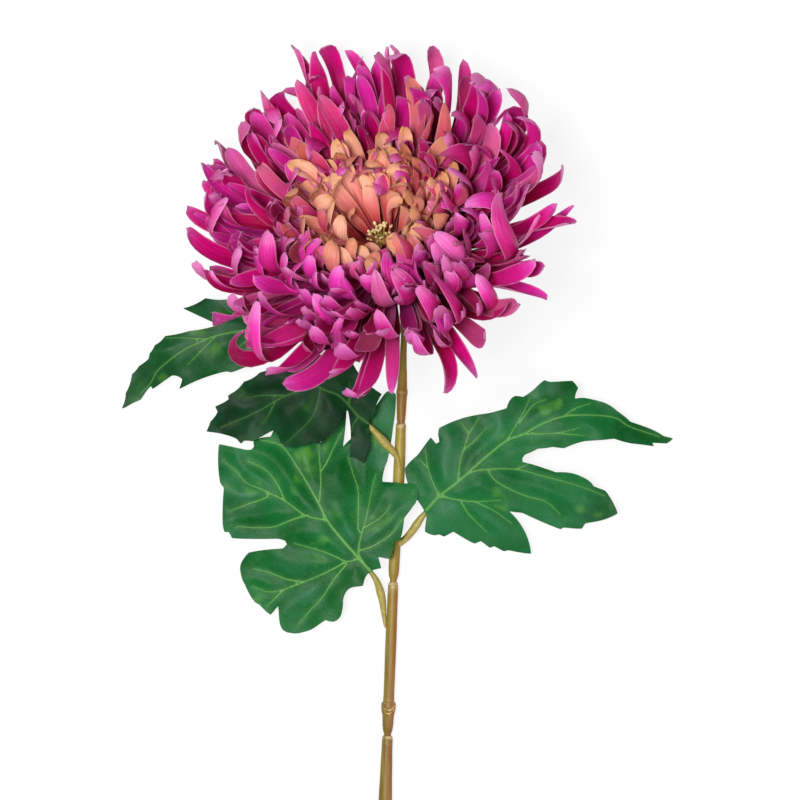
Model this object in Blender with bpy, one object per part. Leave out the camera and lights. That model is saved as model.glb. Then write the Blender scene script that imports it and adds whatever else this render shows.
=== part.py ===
"""A silk chrysanthemum on its cut stem, lying face up on a table.

Sizes are in millimetres and degrees, and become metres as each mesh is written.
The plant's frame has the middle of the bloom straight above its origin, the stem
towards -Y, and the table at Z = 0. The empty named plant then centres the whole.
"""

import math
import random

import bpy
import numpy as np
from mathutils import Matrix, Vector
from mathutils.bvhtree import BVHTree
from mathutils.geometry import delaunay_2d_cdt, interpolate_bezier

# General
MILLIMETRE = 0.001
CLEARANCE = 0.3
PLANT_CENTRE = (4.55, -79.8)
SEED = 415

# The head: a stack of die-cut petal rings on a pin, leaning back from the stem
HUB_HEIGHT = 20.0
HEAD_AXIS = Vector((-0.22, 0.42, 0.87)).normalized()
PETALS_IN_RING = (7, 9, 11, 13, 14, 15, 15, 16, 16, 16, 17, 17, 18, 18)
RINGS = len(PETALS_IN_RING)
RING_PITCH = 1.25
TOP_RING_HEIGHT = 7.0
DISC_THICKNESS = 0.9
DISC_RADII = (2.6, 9.0)
TURN_BETWEEN_RINGS = 137.5
PIN_RADIUS = 1.2
PIN_HALF_LENGTH = 11.2
HOLE_RADIUS = PIN_RADIUS + CLEARANCE
PETAL_THICKNESS = 0.5

# Petals, from the innermost ring to the outermost
PETAL_LENGTHS = (26.0, 82.0)
PETAL_LIFTS = (64.0, 23.0)
PETAL_BENDS = (-8.0, 2.0)
PETAL_HALF_WIDTHS = (2.9, 4.0)
BASE_HALF_WIDTHS = (0.75, 0.9)
ROOT_LENGTH = 3.0
RISE_LENGTH = 4.0
LOW_SIDE_AZIMUTH = 120.0
LOW_SIDE_LEAN = 3.4
LOW_SIDE_CURL = 16.0
STEM_AZIMUTH = -81.0
STEM_GAP = 9.0
FIRST_PARTED_RING = 6
PETAL_STATIONS = (0.3, 0.56, 0.74, 0.9)
ROUNDED_FROM = 0.72

# How much petals differ from each other
TRIES = 80
PLACE_SPREAD = 0.16
LIFT_SPREAD = 2.5
EXTRA_LIFT = 5.0
CURL = 66.0
CURL_SPREAD = (-45.0, 55.0)
CURL_STARTS = (0.48, 0.68)
SWAY_SPREAD = 28.0
ROLL_SPREAD = 55.0
LENGTH_SHARES = (-0.09, 0.05)
WIDTH_SHARES = (0.85, 1.08)
CUPS = (0.25, 0.5)

# The stem lies on the table; its sections plug into each other
STEM_HEIGHT = 2.9
STEM_ROUTE = (
    (-1.4, -245.0, STEM_HEIGHT),
    (0.5, -188.0, STEM_HEIGHT),
    (2.8, -128.0, STEM_HEIGHT),
    (5.0, -86.0, STEM_HEIGHT),
    (6.1, -56.0, STEM_HEIGHT),
    (6.9, -34.0, STEM_HEIGHT),
)
STEM_SIDES = 12
SOCKET_DEPTH = 5.0
SPIGOT_RADIUS = 1.15
SOCKET_RADIUS = SPIGOT_RADIUS + CLEARANCE
LOWER_TOP = 55.0
MIDDLE_TOP = 116.0
UPPER_TOP = 178.0
CALYX_TOP = -10.0
CALYX_BOTTOM = -15.0
NECK_END = CALYX_BOTTOM + 1.7
NECK_RADIUS = 1.25
NECK_REACH = 0.6

# Leaves are thin moulded sheets
LEAF_THICKNESS = 0.6
LEAF_GRID = 8.5
ARC_STEP = 7.0

COLOURS = {
    "stem": (0.28, 0.20, 0.07),
    "stalk": (0.38, 0.33, 0.11),
    "leaf": (0.03, 0.17, 0.05),
    "petal": (0.42, 0.02, 0.18),
    "inner_petal": (0.60, 0.18, 0.12),
    "centre": (0.72, 0.58, 0.22),
    "calyx": (0.12, 0.20, 0.05),
}


def blend(pair, t):
    return pair[0] + (pair[1] - pair[0]) * t


def smooth(t):
    t = min(1.0, max(0.0, t))
    return t * t * (3 - 2 * t)


def clear_scene():
    for obj in list(bpy.data.objects):
        bpy.data.objects.remove(obj, do_unlink=True)


def make_material(name, roughness=0.6):
    material = bpy.data.materials.new(name)
    material.use_nodes = True
    shader = material.node_tree.nodes["Principled BSDF"]
    shader.inputs["Base Color"].default_value = (*COLOURS[name], 1.0)
    shader.inputs["Roughness"].default_value = roughness
    shader.inputs["Metallic"].default_value = 0.0
    return material


def make_object(name, vertices, faces, material, parent):
    """A mesh object from points in millimetres."""
    mesh = bpy.data.meshes.new(name)
    mesh.from_pydata([tuple(Vector(v) * MILLIMETRE) for v in vertices], [], faces)
    mesh.shade_smooth()
    mesh.set_sharp_from_angle(angle=math.radians(40))
    mesh.materials.append(material)
    obj = bpy.data.objects.new(name, mesh)
    bpy.context.scene.collection.objects.link(obj)
    obj.parent = parent
    return obj


def make_empty(name, location, parent=None, rotation=None):
    empty = bpy.data.objects.new(name, None)
    bpy.context.scene.collection.objects.link(empty)
    empty.parent = parent
    empty.location = Vector(location) * MILLIMETRE
    if rotation:
        empty.rotation_mode = "QUATERNION"
        empty.rotation_quaternion = rotation.to_quaternion()
    return empty


# ---------------------------------------------------------------- turned pieces


def smooth_route(points, step=4.0):
    """Points of a Catmull-Rom curve through the given ones."""
    points = [Vector(p) for p in points]
    ends = [2 * points[0] - points[1], *points, 2 * points[-1] - points[-2]]
    route = []
    for before, a, b, after in zip(ends, ends[1:], ends[2:], ends[3:]):
        count = max(2, round((b - a).length / step))
        pieces = interpolate_bezier(a, a + (b - before) / 6, b - (after - a) / 6, b, count + 1)
        route += pieces[:-1]
    return [*route, points[-1]]


def place_along(route, distance):
    """The point and direction at a distance along a route, carried on straight past its ends."""
    left = distance
    for a, b in zip(route, route[1:]):
        length = (b - a).length
        if left <= length or b is route[-1]:
            direction = (b - a).normalized()
            return a + direction * left, direction
        left -= length
    raise ValueError("a route needs two points")


def turned(name, route, profile, sides, material, parent):
    """A piece turned around a route: profile lists (distance, radius), from cap to cap."""
    vertices = []
    for distance, radius in profile:
        point, along = place_along(route, distance)
        side = along.cross(Vector((0, 0, 1))).normalized()
        up = side.cross(along)
        for i in range(sides):
            angle = 2 * math.pi * i / sides
            vertices.append(point + radius * (math.cos(angle) * side + math.sin(angle) * up))
    faces = [tuple(reversed(range(sides)))]
    for k in range(len(profile) - 1):
        for i in range(sides):
            j = (i + 1) % sides
            low, high = k * sides, (k + 1) * sides
            faces.append((low + i, low + j, high + j, high + i))
    faces.append(tuple(range(len(vertices) - sides, len(vertices))))
    faces = [tuple(reversed(face)) for face in faces]
    return make_object(name, vertices, faces, material, parent)


# ---------------------------------------------------------------- the stem


def stem_route():
    """The stem's centre line from the cut end to the calyx, which it enters along the head's axis."""
    straight = smooth_route(STEM_ROUTE)
    hub = Vector((0, 0, HUB_HEIGHT))
    mouth = hub + (CALYX_BOTTOM - NECK_REACH) * HEAD_AXIS
    start = straight[-1]
    bend = interpolate_bezier(start, start + Vector((0, 12, 0)), mouth - 7 * HEAD_AXIS, mouth, 14)
    return [*straight, *bend[1:], hub + NECK_END * HEAD_AXIS]


def route_length(route):
    return sum((b - a).length for a, b in zip(route, route[1:]))


def socketed(profile, top):
    """The profile carried over the rim and down inside the socket."""
    return [*profile, (top, SOCKET_RADIUS), (top - SOCKET_DEPTH, SOCKET_RADIUS)]


def plugged(profile, joint):
    """The profile with a spigot below it, which goes down into the socket under the joint."""
    start = joint - SOCKET_DEPTH + CLEARANCE
    shoulder = joint + CLEARANCE
    return [(start, SPIGOT_RADIUS), (shoulder, SPIGOT_RADIUS), *profile]


def make_stem(material, parent):
    route = stem_route()
    lower = [(0, 2.4), (0.4, 2.7), (31, 2.6), (46, 2.2), (LOWER_TOP - 0.3, 2.05), (LOWER_TOP, 1.9)]
    middle = [
        (LOWER_TOP + CLEARANCE, 1.5),
        (57.5, 1.55),
        (60, 2.05),
        (65.3, 2.2),
        (67.2, 2.8),
        (69.6, 2.2),
        (73, 2.1),
        (93, 2.18),
        (112, 2.1),
        (MIDDLE_TOP, 1.85),
    ]
    upper = [
        (MIDDLE_TOP + CLEARANCE, 1.5),
        (120, 1.65),
        (125, 1.9),
        (131.5, 2.05),
        (145, 2.1),
        (160, 2.3),
        (169, 2.15),
        (176, 1.95),
        (UPPER_TOP, 1.8),
    ]
    neck = [
        (UPPER_TOP + CLEARANCE, 1.45),
        (180.5, 1.75),
        (188.4, 2.05),
        (190, 2.25),
        (191.6, 1.95),
        (196.5, 1.75),
        (201, 1.45),
        (206.5, NECK_RADIUS),
        (211, NECK_RADIUS),
    ]
    end = route_length(route)
    mouth = end - (NECK_END - CALYX_BOTTOM + NECK_REACH)
    straight = neck[-1][0]
    bends = math.ceil((mouth - straight) / 3.2)
    neck += [(straight + (mouth - straight) * (i + 1) / bends, NECK_RADIUS) for i in range(bends)]
    neck.append((end, NECK_RADIUS))
    sections = {
        "stem_lower": socketed(lower, LOWER_TOP),
        "stem_middle": socketed(plugged(middle, LOWER_TOP), MIDDLE_TOP),
        "stem_upper": socketed(plugged(upper, MIDDLE_TOP), UPPER_TOP),
        "stem_neck": plugged(neck, UPPER_TOP),
    }
    for name, profile in sections.items():
        turned(name, route, profile, STEM_SIDES, material, parent)


# Each stalk starts beside the stem and ends under the first of its leaf: (x, y, z, radius).
STALKS = {
    "leaf_stalk_front": (
        (-0.7, -141.2, 3.3, 0.7),
        (-2.6, -137.8, 4.5, 1.1),
        (-4.4, -130.0, 6.6, 1.05),
        (-6.3, -125.0, 7.2, 0.95),
        (-9.6, -120.6, 7.1, 0.6),
    ),
    "leaf_stalk_right": (
        (6.7, -113.0, 3.3, 1.25),
        (9.3, -110.6, 4.6, 1.6),
        (12.2, -106.6, 5.9, 1.45),
        (15.1, -102.0, 6.6, 1.05),
        (19.2, -97.6, 7.3, 0.6),
    ),
    "leaf_stalk_back": (
        (3.1, -78.2, 5.1, 1.2),
        (1.3, -76.0, 7.0, 1.35),
        (-2.2, -72.4, 8.2, 1.75),
        (-6.2, -68.4, 8.7, 1.2),
        (-9.6, -64.6, 9.3, 0.6),
    ),
    "leaf_stalk_high": (
        (4.6, -42.0, 3.2, 0.9),
        (-2.0, -39.6, 4.6, 1.2),
        (-16.0, -35.0, 6.6, 1.2),
        (-30.0, -32.6, 7.6, 1.0),
        (-39.0, -31.8, 8.1, 0.6),
    ),
}
STALK_SIDES = 10


def make_stalks(material, parent):
    for name, stalk in STALKS.items():
        route = smooth_route([place[:3] for place in stalk], step=2.0)
        length = route_length(route)
        profile = [(length * i / (len(stalk) - 1), place[3]) for i, place in enumerate(stalk)]
        turned(name, route, profile, STALK_SIDES, material, parent)


# ---------------------------------------------------------------- the head


def along_axis(*distances):
    """A straight route on the head's axis, in the head's own frame."""
    return [Vector((0, 0, distances[0])), Vector((0, 0.0001, distances[-1]))]


def make_hub_pieces(materials, head):
    calyx_height = CALYX_TOP - CALYX_BOTTOM
    calyx = [
        (1.7 + CLEARANCE, NECK_RADIUS + CLEARANCE),
        (0, NECK_RADIUS + CLEARANCE),
        (0, 2.3),
        (1.8, 3.3),
        (3.6, 6.2),
        (calyx_height, 7.2),
        (calyx_height, HOLE_RADIUS),
        (calyx_height - 1.5, HOLE_RADIUS),
    ]
    turned("calyx", along_axis(CALYX_BOTTOM, CALYX_TOP), calyx, 16, materials["calyx"], head)
    pin = [(0, PIN_RADIUS), (2 * PIN_HALF_LENGTH, PIN_RADIUS)]
    route = along_axis(-PIN_HALF_LENGTH, PIN_HALF_LENGTH)
    turned("flower_pin", route, pin, 12, materials["calyx"], head)
    base = TOP_RING_HEIGHT + DISC_THICKNESS / 2 + CLEARANCE
    inside = PIN_HALF_LENGTH + CLEARANCE - base
    centre = [
        (inside, HOLE_RADIUS),
        (0, HOLE_RADIUS),
        (0, 2.4),
        (1.4, 3.1),
        (3.4, 3.2),
        (5.2, 2.4),
        (6.2, 0.9),
    ]
    turned("flower_centre", along_axis(base, base + 6.2), centre, 12, materials["centre"], head)


def ring_rule(index):
    """What the petals of one ring share. Ring 0 is the innermost and highest."""
    t = index / (RINGS - 1)
    return {
        "t": t,
        "index": index,
        "height": TOP_RING_HEIGHT - RING_PITCH * index,
        "radius": blend(DISC_RADII, 1 - (1 - t) ** 2.2),
        "length": blend(PETAL_LENGTHS, 1 - (1 - t) ** 1.2),
        "lift": blend(PETAL_LIFTS, t),
        "bend": blend(PETAL_BENDS, t),
        "half_width": blend(PETAL_HALF_WIDTHS, t),
        "base_half_width": blend(BASE_HALF_WIDTHS, t),
    }


def part_around_stem(azimuth):
    """Petals beside the stem lean away from it, so that it shows between them."""
    offset = (azimuth - STEM_AZIMUTH + 180) % 360 - 180
    reach = 3 * STEM_GAP
    if abs(offset) >= reach:
        return azimuth
    side = 1 if offset >= 0 else -1
    return STEM_AZIMUTH + side * (STEM_GAP + abs(offset) * (reach - STEM_GAP) / reach)


def draw_petal(rule, place, rng, calm):
    """One petal of a ring. calm goes from 0, as lively as the rest, to 1, quite regular."""
    lively = 1 - calm
    pitch = 360 / PETALS_IN_RING[rule["index"]]
    azimuth = place * pitch + rule["index"] * TURN_BETWEEN_RINGS
    azimuth += rng.uniform(-PLACE_SPREAD, PLACE_SPREAD) * pitch * lively
    if rule["index"] >= FIRST_PARTED_RING:
        azimuth = part_around_stem(azimuth)
    low = rule["t"] * math.cos(math.radians(azimuth - LOW_SIDE_AZIMUTH))
    lift = rule["lift"] - LOW_SIDE_LEAN * low
    return {
        **rule,
        "azimuth": azimuth % 360,
        "length": rule["length"] * (1 + rng.uniform(*LENGTH_SHARES) * lively),
        "lift": lift + rng.uniform(-LIFT_SPREAD, LIFT_SPREAD) * lively + EXTRA_LIFT * calm,
        "curl": CURL + LOW_SIDE_CURL * low + rng.uniform(*CURL_SPREAD) * lively,
        "curl_start": rng.uniform(*CURL_STARTS),
        "sway": rng.uniform(-SWAY_SPREAD, SWAY_SPREAD) * lively,
        "roll": rng.uniform(-ROLL_SPREAD, ROLL_SPREAD) * lively,
        "half_width": rule["half_width"] * rng.uniform(*WIDTH_SHARES),
        "cup": rng.uniform(*CUPS),
    }


def petal_direction(petal, u):
    """How far the petal's centre line is turned up and aside at u, from 0 at the disc to 1 at the tip."""
    tip = max(0.0, (u - petal["curl_start"]) / (1 - petal["curl_start"]))
    up = petal["lift"] * smooth(u * petal["length"] / RISE_LENGTH)
    up += petal["bend"] * u + petal["curl"] * tip**1.3
    return math.radians(up), math.radians(petal["sway"] * u * u)


def petal_half_width(petal, u):
    swell = smooth(u / ROUNDED_FROM)
    width = petal["base_half_width"] * (1 - swell) + petal["half_width"] * swell
    tip = max(0.0, (u - ROUNDED_FROM) / (1 - ROUNDED_FROM))
    return width * math.sqrt(max(0.0, 1 - tip**2.2))


def petal_frames(petal, stations, steps=60):
    """(centre, side, normal) at each station, in the frame of a petal that points along +X."""
    frames = []
    point = Vector((petal["radius"], 0, 0))
    wanted = list(stations)
    for step in range(steps + 1):
        u = step / steps
        up, aside = petal_direction(petal, u)
        along = Vector((math.cos(up) * math.cos(aside), math.cos(up) * math.sin(aside), math.sin(up)))
        side = Vector((-math.sin(aside), math.cos(aside), 0))
        normal = along.cross(side)
        while wanted and u >= wanted[0] - 1e-6:
            roll = Matrix.Rotation(math.radians(petal["roll"]) * wanted[0], 3, along)
            frames.append((point.copy(), roll @ side, roll @ normal))
            wanted.pop(0)
        point += along * petal["length"] / steps
    return frames


def petal_root(petal):
    """The corners on the disc's wall that the petal grows from, in the order of a section's."""
    radius = petal["radius"]
    spread = petal["base_half_width"] / radius
    inset, width = radius * math.cos(spread), radius * math.sin(spread)
    half = DISC_THICKNESS / 2
    corners = ((inset, -width, 0), (radius, 0, half), (inset, width, 0), (radius, 0, -half))
    return [Vector(corner) for corner in corners]


def petal_sections(petal):
    """Four corners at the disc and at each station: right edge, upper middle, left edge, lower middle."""
    stations = (ROOT_LENGTH / petal["length"], *PETAL_STATIONS)
    frames = petal_frames(petal, (*stations, 1.0))
    half = PETAL_THICKNESS / 2
    sections = [petal_root(petal)]
    for u, (centre, side, normal) in zip(stations, frames):
        width = petal_half_width(petal, u)
        edge = normal * petal["cup"] * width * smooth(u / 0.3)
        corners = (edge - side * width, normal * half, edge + side * width, -normal * half)
        sections.append([centre + corner for corner in corners])
    return sections, frames[-1][0]


def petal_mesh(petal):
    """Vertices and faces of one petal from its root outwards, in the head's frame."""
    sections, tip = petal_sections(petal)
    turn = Matrix.Rotation(math.radians(petal["azimuth"]), 4, "Z")
    turn = Matrix.Translation((0, 0, petal["height"])) @ turn
    vertices = [turn @ corner for section in sections for corner in section] + [turn @ tip]
    faces = []
    last = len(sections) - 1
    for k in range(last):
        for i in range(4):
            near, next_near = 4 * k + i, 4 * k + (i + 1) % 4
            far, next_far = near + 4, next_near + 4
            # Upper and lower sides are cut alike, so that they keep apart where the petal twists.
            if i % 2:
                faces += [(near, far, next_near), (far, next_far, next_near)]
            else:
                faces += [(near, far, next_far), (near, next_far, next_near)]
    for i in range(4):
        faces.append((4 * last + i, len(vertices) - 1, 4 * last + (i + 1) % 4))
    return vertices, faces


def head_matrix():
    """The head's frame in the plant's: +Z along its axis, +X as near to the plant's +X as that allows."""
    side = (Vector((1, 0, 0)) - HEAD_AXIS.x * HEAD_AXIS).normalized()
    turn = Matrix((side, HEAD_AXIS.cross(side), HEAD_AXIS)).transposed()
    return Matrix.Translation((0, 0, HUB_HEIGHT)) @ turn.to_4x4()


def fits(vertices, tree, placed, to_plant):
    """True where the petal clears the table and every petal placed before it."""
    if min((to_plant @ v).z for v in vertices) < CLEARANCE:
        return False
    return not any(tree.overlap(other) for other in placed)


def plan_petals():
    """The petals of all rings. Each is drawn again, ever calmer, until it clears the others."""
    rng = random.Random(SEED)
    to_plant = head_matrix()
    placed = []
    plan = []
    for index, count in enumerate(PETALS_IN_RING):
        rule = ring_rule(index)
        ring = []
        for place in range(count):
            for attempt in range(TRIES):
                petal = draw_petal(rule, place, rng, attempt / TRIES)
                vertices, faces = petal_mesh(petal)
                tree = BVHTree.FromPolygons(vertices, faces, epsilon=0.12)
                if fits(vertices, tree, placed, to_plant):
                    break
            else:
                print(f"ring {index + 1}, petal {place + 1} touches another")
            placed.append(tree)
            ring.append(petal)
        plan.append(sorted(ring, key=lambda petal: petal["azimuth"]))
    return plan


def ring_mesh(ring):
    """A die-cut ring: a holed disc whose outer wall carries each petal on a diamond-shaped root."""
    count = len(ring)
    height, half = ring[0]["height"], DISC_THICKNESS / 2
    vertices, faces = [], []
    roots = []
    for petal in ring:
        first = len(vertices)
        points, petal_faces = petal_mesh(petal)
        vertices += points
        faces += [tuple(first + i for i in face) for face in petal_faces]
        angle = math.radians(petal["azimuth"])
        x, y = HOLE_RADIUS * math.cos(angle), HOLE_RADIUS * math.sin(angle)
        vertices += [Vector((x, y, height + half)), Vector((x, y, height - half))]
        roots.append((*range(first, first + 4), len(vertices) - 2, len(vertices) - 1))
    for k in range(count):
        _, top, left, bottom, hole_top, hole_bottom = roots[k]
        right_2, top_2, _, bottom_2, hole_top_2, hole_bottom_2 = roots[(k + 1) % count]
        faces.append((top, top_2, hole_top_2, hole_top))
        faces.append((bottom, hole_bottom, hole_bottom_2, bottom_2))
        faces.append((hole_top, hole_top_2, hole_bottom_2, hole_bottom))
        faces += [(top, left, top_2), (left, right_2, top_2)]
        faces += [(left, bottom, bottom_2), (left, bottom_2, right_2)]
    return vertices, faces


def make_rings(materials, head):
    for index, ring in enumerate(plan_petals()):
        vertices, faces = ring_mesh(ring)
        material = materials["inner_petal" if index < 5 else "petal"]
        make_object(f"petal_ring_{index + 1:02d}", vertices, faces, material, head)


# ---------------------------------------------------------------- the leaves

# An edge is a list of corners (x, y, bulge) from the stalk's end, going round to the left of
# the blade's inside; bulge is how far the stretch to the next corner swells outwards.
# Heights are (x, y, z) with z above the table.
LEAVES = {
    "leaf_front": {
        "base": (-6.3, -124.8),
        "edge": (
            (0, 0, -0.4), (4.5, 1.5, 0), (3, 6, 0), (8, 5, 0.8), (10, 13.5, 0.2), (12.5, 14.5, -0.8),
            (13.5, 21.5, 0.4), (18, 28, 1), (17.5, 33, 0.8), (5, 35.5, 0.5), (6.5, 45, 0.8),
            (9.3, 60, 1.2), (6.5, 70, 1.6), (-1.5, 56, 0.5), (-10.5, 48.5, 0.2), (-9, 64, 1),
            (-19, 50, 0.5), (-27, 60, 2), (-37.5, 55, 0.5), (-44, 51.5, 0.5), (-46.5, 47, -0.4),
            (-59, 49.5, 1.4), (-56.5, 32, 1), (-57, 15.5, 0), (-54, 13, 0.6), (-34, 12.5, -0.4),
            (-32, 11, 0.3), (-34, 9.5, 0.8), (-47, 7.5, 1.6), (-50.5, -1, 0.4), (-38.5, -17, 0.2),
            (-35, -13, 1), (-34, -23, 2.2), (-23.5, -22.5, -0.3), (-16.5, -19, 1), (-11, -16.5, 0.4),
            (-10, -9.5, -0.8), (-7.5, -5.5, 0.4), (-2, -5, -0.4),
        ),
        "heights": (
            (0, 0, 8.4), (15, 27, 7.8), (5, 36, 6.0), (8, 50, 2.7), (6, 66, 2.2), (-10, 58, 3.2),
            (-24, 24, 9.6), (-30, 54, 3.6), (-57, 46, 1.4), (-54, 18, 2.4), (-34, 11, 4.8),
            (-48, 2, 2.2), (-30, -21, 2.4),
        ),
    },
    "leaf_right": {
        "base": (15.1, -101.4),
        "edge": (
            (0, 0, 0), (0.5, -8, 0.4), (8, -9.5, 0), (11.5, -8, 0.6), (20, -12.5, 0), (22, -11.5, 0.2),
            (25.5, -14.5, 0), (28, -13.5, 0), (31, -15.5, 0.3), (41.5, -16.5, 1.8), (33, 0, 1),
            (53, -7, 0), (55.5, -5.5, 0.2), (61.5, -6.5, 0), (63, -4.5, 0.8), (75.5, -1, 1),
            (70, 8, 0.4), (65, 11, 2.2), (38, 20, -0.3), (38, 22, 1.4), (54, 24.5, -0.5), (74, 28.5, 0.5),
            (85.5, 26, 0), (87, 27, 0), (94, 26.5, 0), (97, 28.5, -0.4), (88, 32.5, 0.3), (79.5, 35, 2),
            (58.5, 44, 0), (59.5, 47.5, 0), (57.5, 50.5, 0.4), (46.5, 50.5, 0.3), (42.5, 47.5, 0),
            (34.5, 45, 0.7), (32, 40, -0.4), (15, 36.5, 0.4), (5, 32, 0), (4.5, 26.5, 0), (2.5, 29, 0.3),
            (-7.2, 17.5, 1), (-3, 3.5, 0.2),
        ),
        "heights": (
            (0, 0, 8.2), (24, 13, 13.2), (54, 37, 13), (97, 28, 0.8), (80, 31, 6.4), (53, 49, 9),
            (-5, 16, 8.6), (4, 30, 9.4), (38, 21, 11.4), (74, 0, 4), (55, 4, 8.2), (41, -16, 1.4),
            (6, -8, 6.4),
        ),
    },
    "leaf_back": {
        "base": (-6.7, -67.8),
        "edge": (
            (0, 0, 0), (0.5, -8, 0.3), (-2, -15, 0), (-4.5, -13, 0.2), (-7.5, -12.5, 0.8), (-9, 5.5, 0.6),
            (-12.5, -4, 0.8), (-23, -6.5, 0.4), (-33.5, -8.5, 1), (-37, -2, 0.6), (-46.5, -6, 0),
            (-50, -7.5, 0), (-51.5, -5.5, 0.6), (-63.5, -3, 1), (-59.5, 7, 0.8), (-54.5, 11.5, 0.6),
            (-48, 17.5, 1.4), (-27, 27, 0.6), (-15, 28, 0.4), (-13.5, 20.5, 0.6), (-7.5, 27, 1.8),
            (5.2, 12, 0.6), (2.5, 5, 0.2),
        ),
        "heights": (
            (0, 0, 10.2), (-14, 10, 13.8), (-30, 14, 13.4), (-62, -2, 4.4), (-33, -7, 8.8), (-3, -13, 8.6),
            (4, 13, 9.6), (-8, 26, 10.8), (-24, 26, 11.6), (-50, 14, 8.4), (-50, -6, 6.4),
        ),
    },
    "leaf_high": {
        "base": (-34.0, -32.0),
        "edge": (
            (0, 0, -0.4), (-6, -6, 1.6), (-19.5, -13, 0), (-26, -15.5, 0), (-28, -15, 0.7), (-46.5, -22, 0),
            (-45, -18, 0.4), (-49, -16.5, 0), (-57, -22, 0), (-57.5, -20.5, 0.2), (-61.5, -26, 0),
            (-62.5, -25, 0.3), (-69, -29, 1.2), (-62, -11.5, 0.5), (-57, -9, 0), (-57, -6, 1.4),
            (-42.5, 1, 0.5), (-31, 3, 0), (-45, 9.5, 0.6), (-36, 13.5, 0.5), (-27, 13, 1), (-9, 8, 1),
        ),
        "heights": (
            (0, 0, 9), (-28, -1, 12), (-50, -9, 9), (-68, -28, 0.8), (-46, -20, 4.6), (-20, -13, 7.6),
            (-44, 10, 6), (-12, 8, 9.2), (-60, -12, 4.4),
        ),
    },
}


def leaf_outline(corners, step):
    """Points along the edge, each stretch an arc with its bulge to the right of the way round."""
    points = []
    for (x, y, bulge), (x2, y2, _) in zip(corners, (*corners[1:], corners[0])):
        a, b = Vector((x, y)), Vector((x2, y2))
        run = b - a
        outward = Vector((run.y, -run.x)).normalized()
        count = max(1, round(run.length / step))
        for i in range(count):
            t = i / count
            points.append(a + run * t + outward * bulge * 4 * t * (1 - t))
    return points


def inside(point, outline):
    within = False
    for a, b in zip(outline, [*outline[1:], outline[0]]):
        if (a.y > point.y) != (b.y > point.y):
            if point.x < a.x + (b.x - a.x) * (point.y - a.y) / (b.y - a.y):
                within = not within
    return within


def grid_inside(outline, pitch):
    """A triangular grid of points within the outline, clear of its edge."""
    low_x, high_x = min(p.x for p in outline), max(p.x for p in outline)
    low_y, high_y = min(p.y for p in outline), max(p.y for p in outline)
    row_height = pitch * math.sqrt(3) / 2
    points = []
    for row in range(int((high_y - low_y) / row_height) + 1):
        for column in range(int((high_x - low_x) / pitch) + 1):
            point = Vector((low_x + (column + 0.5 * (row % 2)) * pitch, low_y + row * row_height))
            if inside(point, outline) and min((point - p).length for p in outline) > 0.45 * pitch:
                points.append(point)
    return points


def height_field(spots):
    """A thin-plate surface through (x, y, z) spots, as a function of x and y."""
    spots = np.array(spots, float)
    count = len(spots)

    def kernel(distance):
        return np.where(distance > 0, distance**2 * np.log(np.maximum(distance, 1e-9)), 0.0)

    gaps = np.linalg.norm(spots[:, None, :2] - spots[None, :, :2], axis=2)
    plane = np.column_stack([np.ones(count), spots[:, :2]])
    system = np.block([[kernel(gaps), plane], [plane.T, np.zeros((3, 3))]])
    weights = np.linalg.solve(system, np.concatenate([spots[:, 2], np.zeros(3)]))

    def height(x, y):
        distance = np.hypot(spots[:, 0] - x, spots[:, 1] - y)
        return float(kernel(distance) @ weights[:count] + weights[count:] @ (1, x, y))

    return height


def make_leaf(name, leaf, material, parent):
    outline = leaf_outline(leaf["edge"], ARC_STEP)
    points = [*outline, *grid_inside(outline, LEAF_GRID)]
    ring = [(i, (i + 1) % len(outline)) for i in range(len(outline))]
    flat, _, triangles, _, _, _ = delaunay_2d_cdt(points, ring, [], 1, 0.0001)
    height = height_field(leaf["heights"])
    base_x, base_y = leaf["base"]
    lower = [Vector((base_x + p.x, base_y + p.y, max(CLEARANCE, height(p.x, p.y)))) for p in flat]
    upper = [p + Vector((0, 0, LEAF_THICKNESS)) for p in lower]
    count = len(lower)
    faces = [tuple(reversed(face)) for face in triangles]
    faces += [tuple(i + count for i in face) for face in triangles]
    edges = {(a, b) for face in triangles for a, b in zip(face, (*face[1:], face[0]))}
    faces += [(a, b, b + count, a + count) for a, b in edges if (b, a) not in edges]
    make_object(name, lower + upper, faces, material, parent)


def make_plant():
    clear_scene()
    materials = {name: make_material(name) for name in COLOURS}
    plant = make_empty("plant", (-PLANT_CENTRE[0], -PLANT_CENTRE[1], 0))
    head = make_empty("head", (0, 0, HUB_HEIGHT), plant, head_matrix())
    make_stem(materials["stem"], plant)
    make_stalks(materials["stalk"], plant)
    for name, leaf in LEAVES.items():
        make_leaf(name, leaf, materials["leaf"], plant)
    make_hub_pieces(materials, head)
    make_rings(materials, head)


make_plant()
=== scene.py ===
import math
import random

import bpy
import numpy as np
from mathutils import Matrix, Vector
from mathutils.bvhtree import BVHTree
from mathutils.geometry import delaunay_2d_cdt, interpolate_bezier


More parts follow.
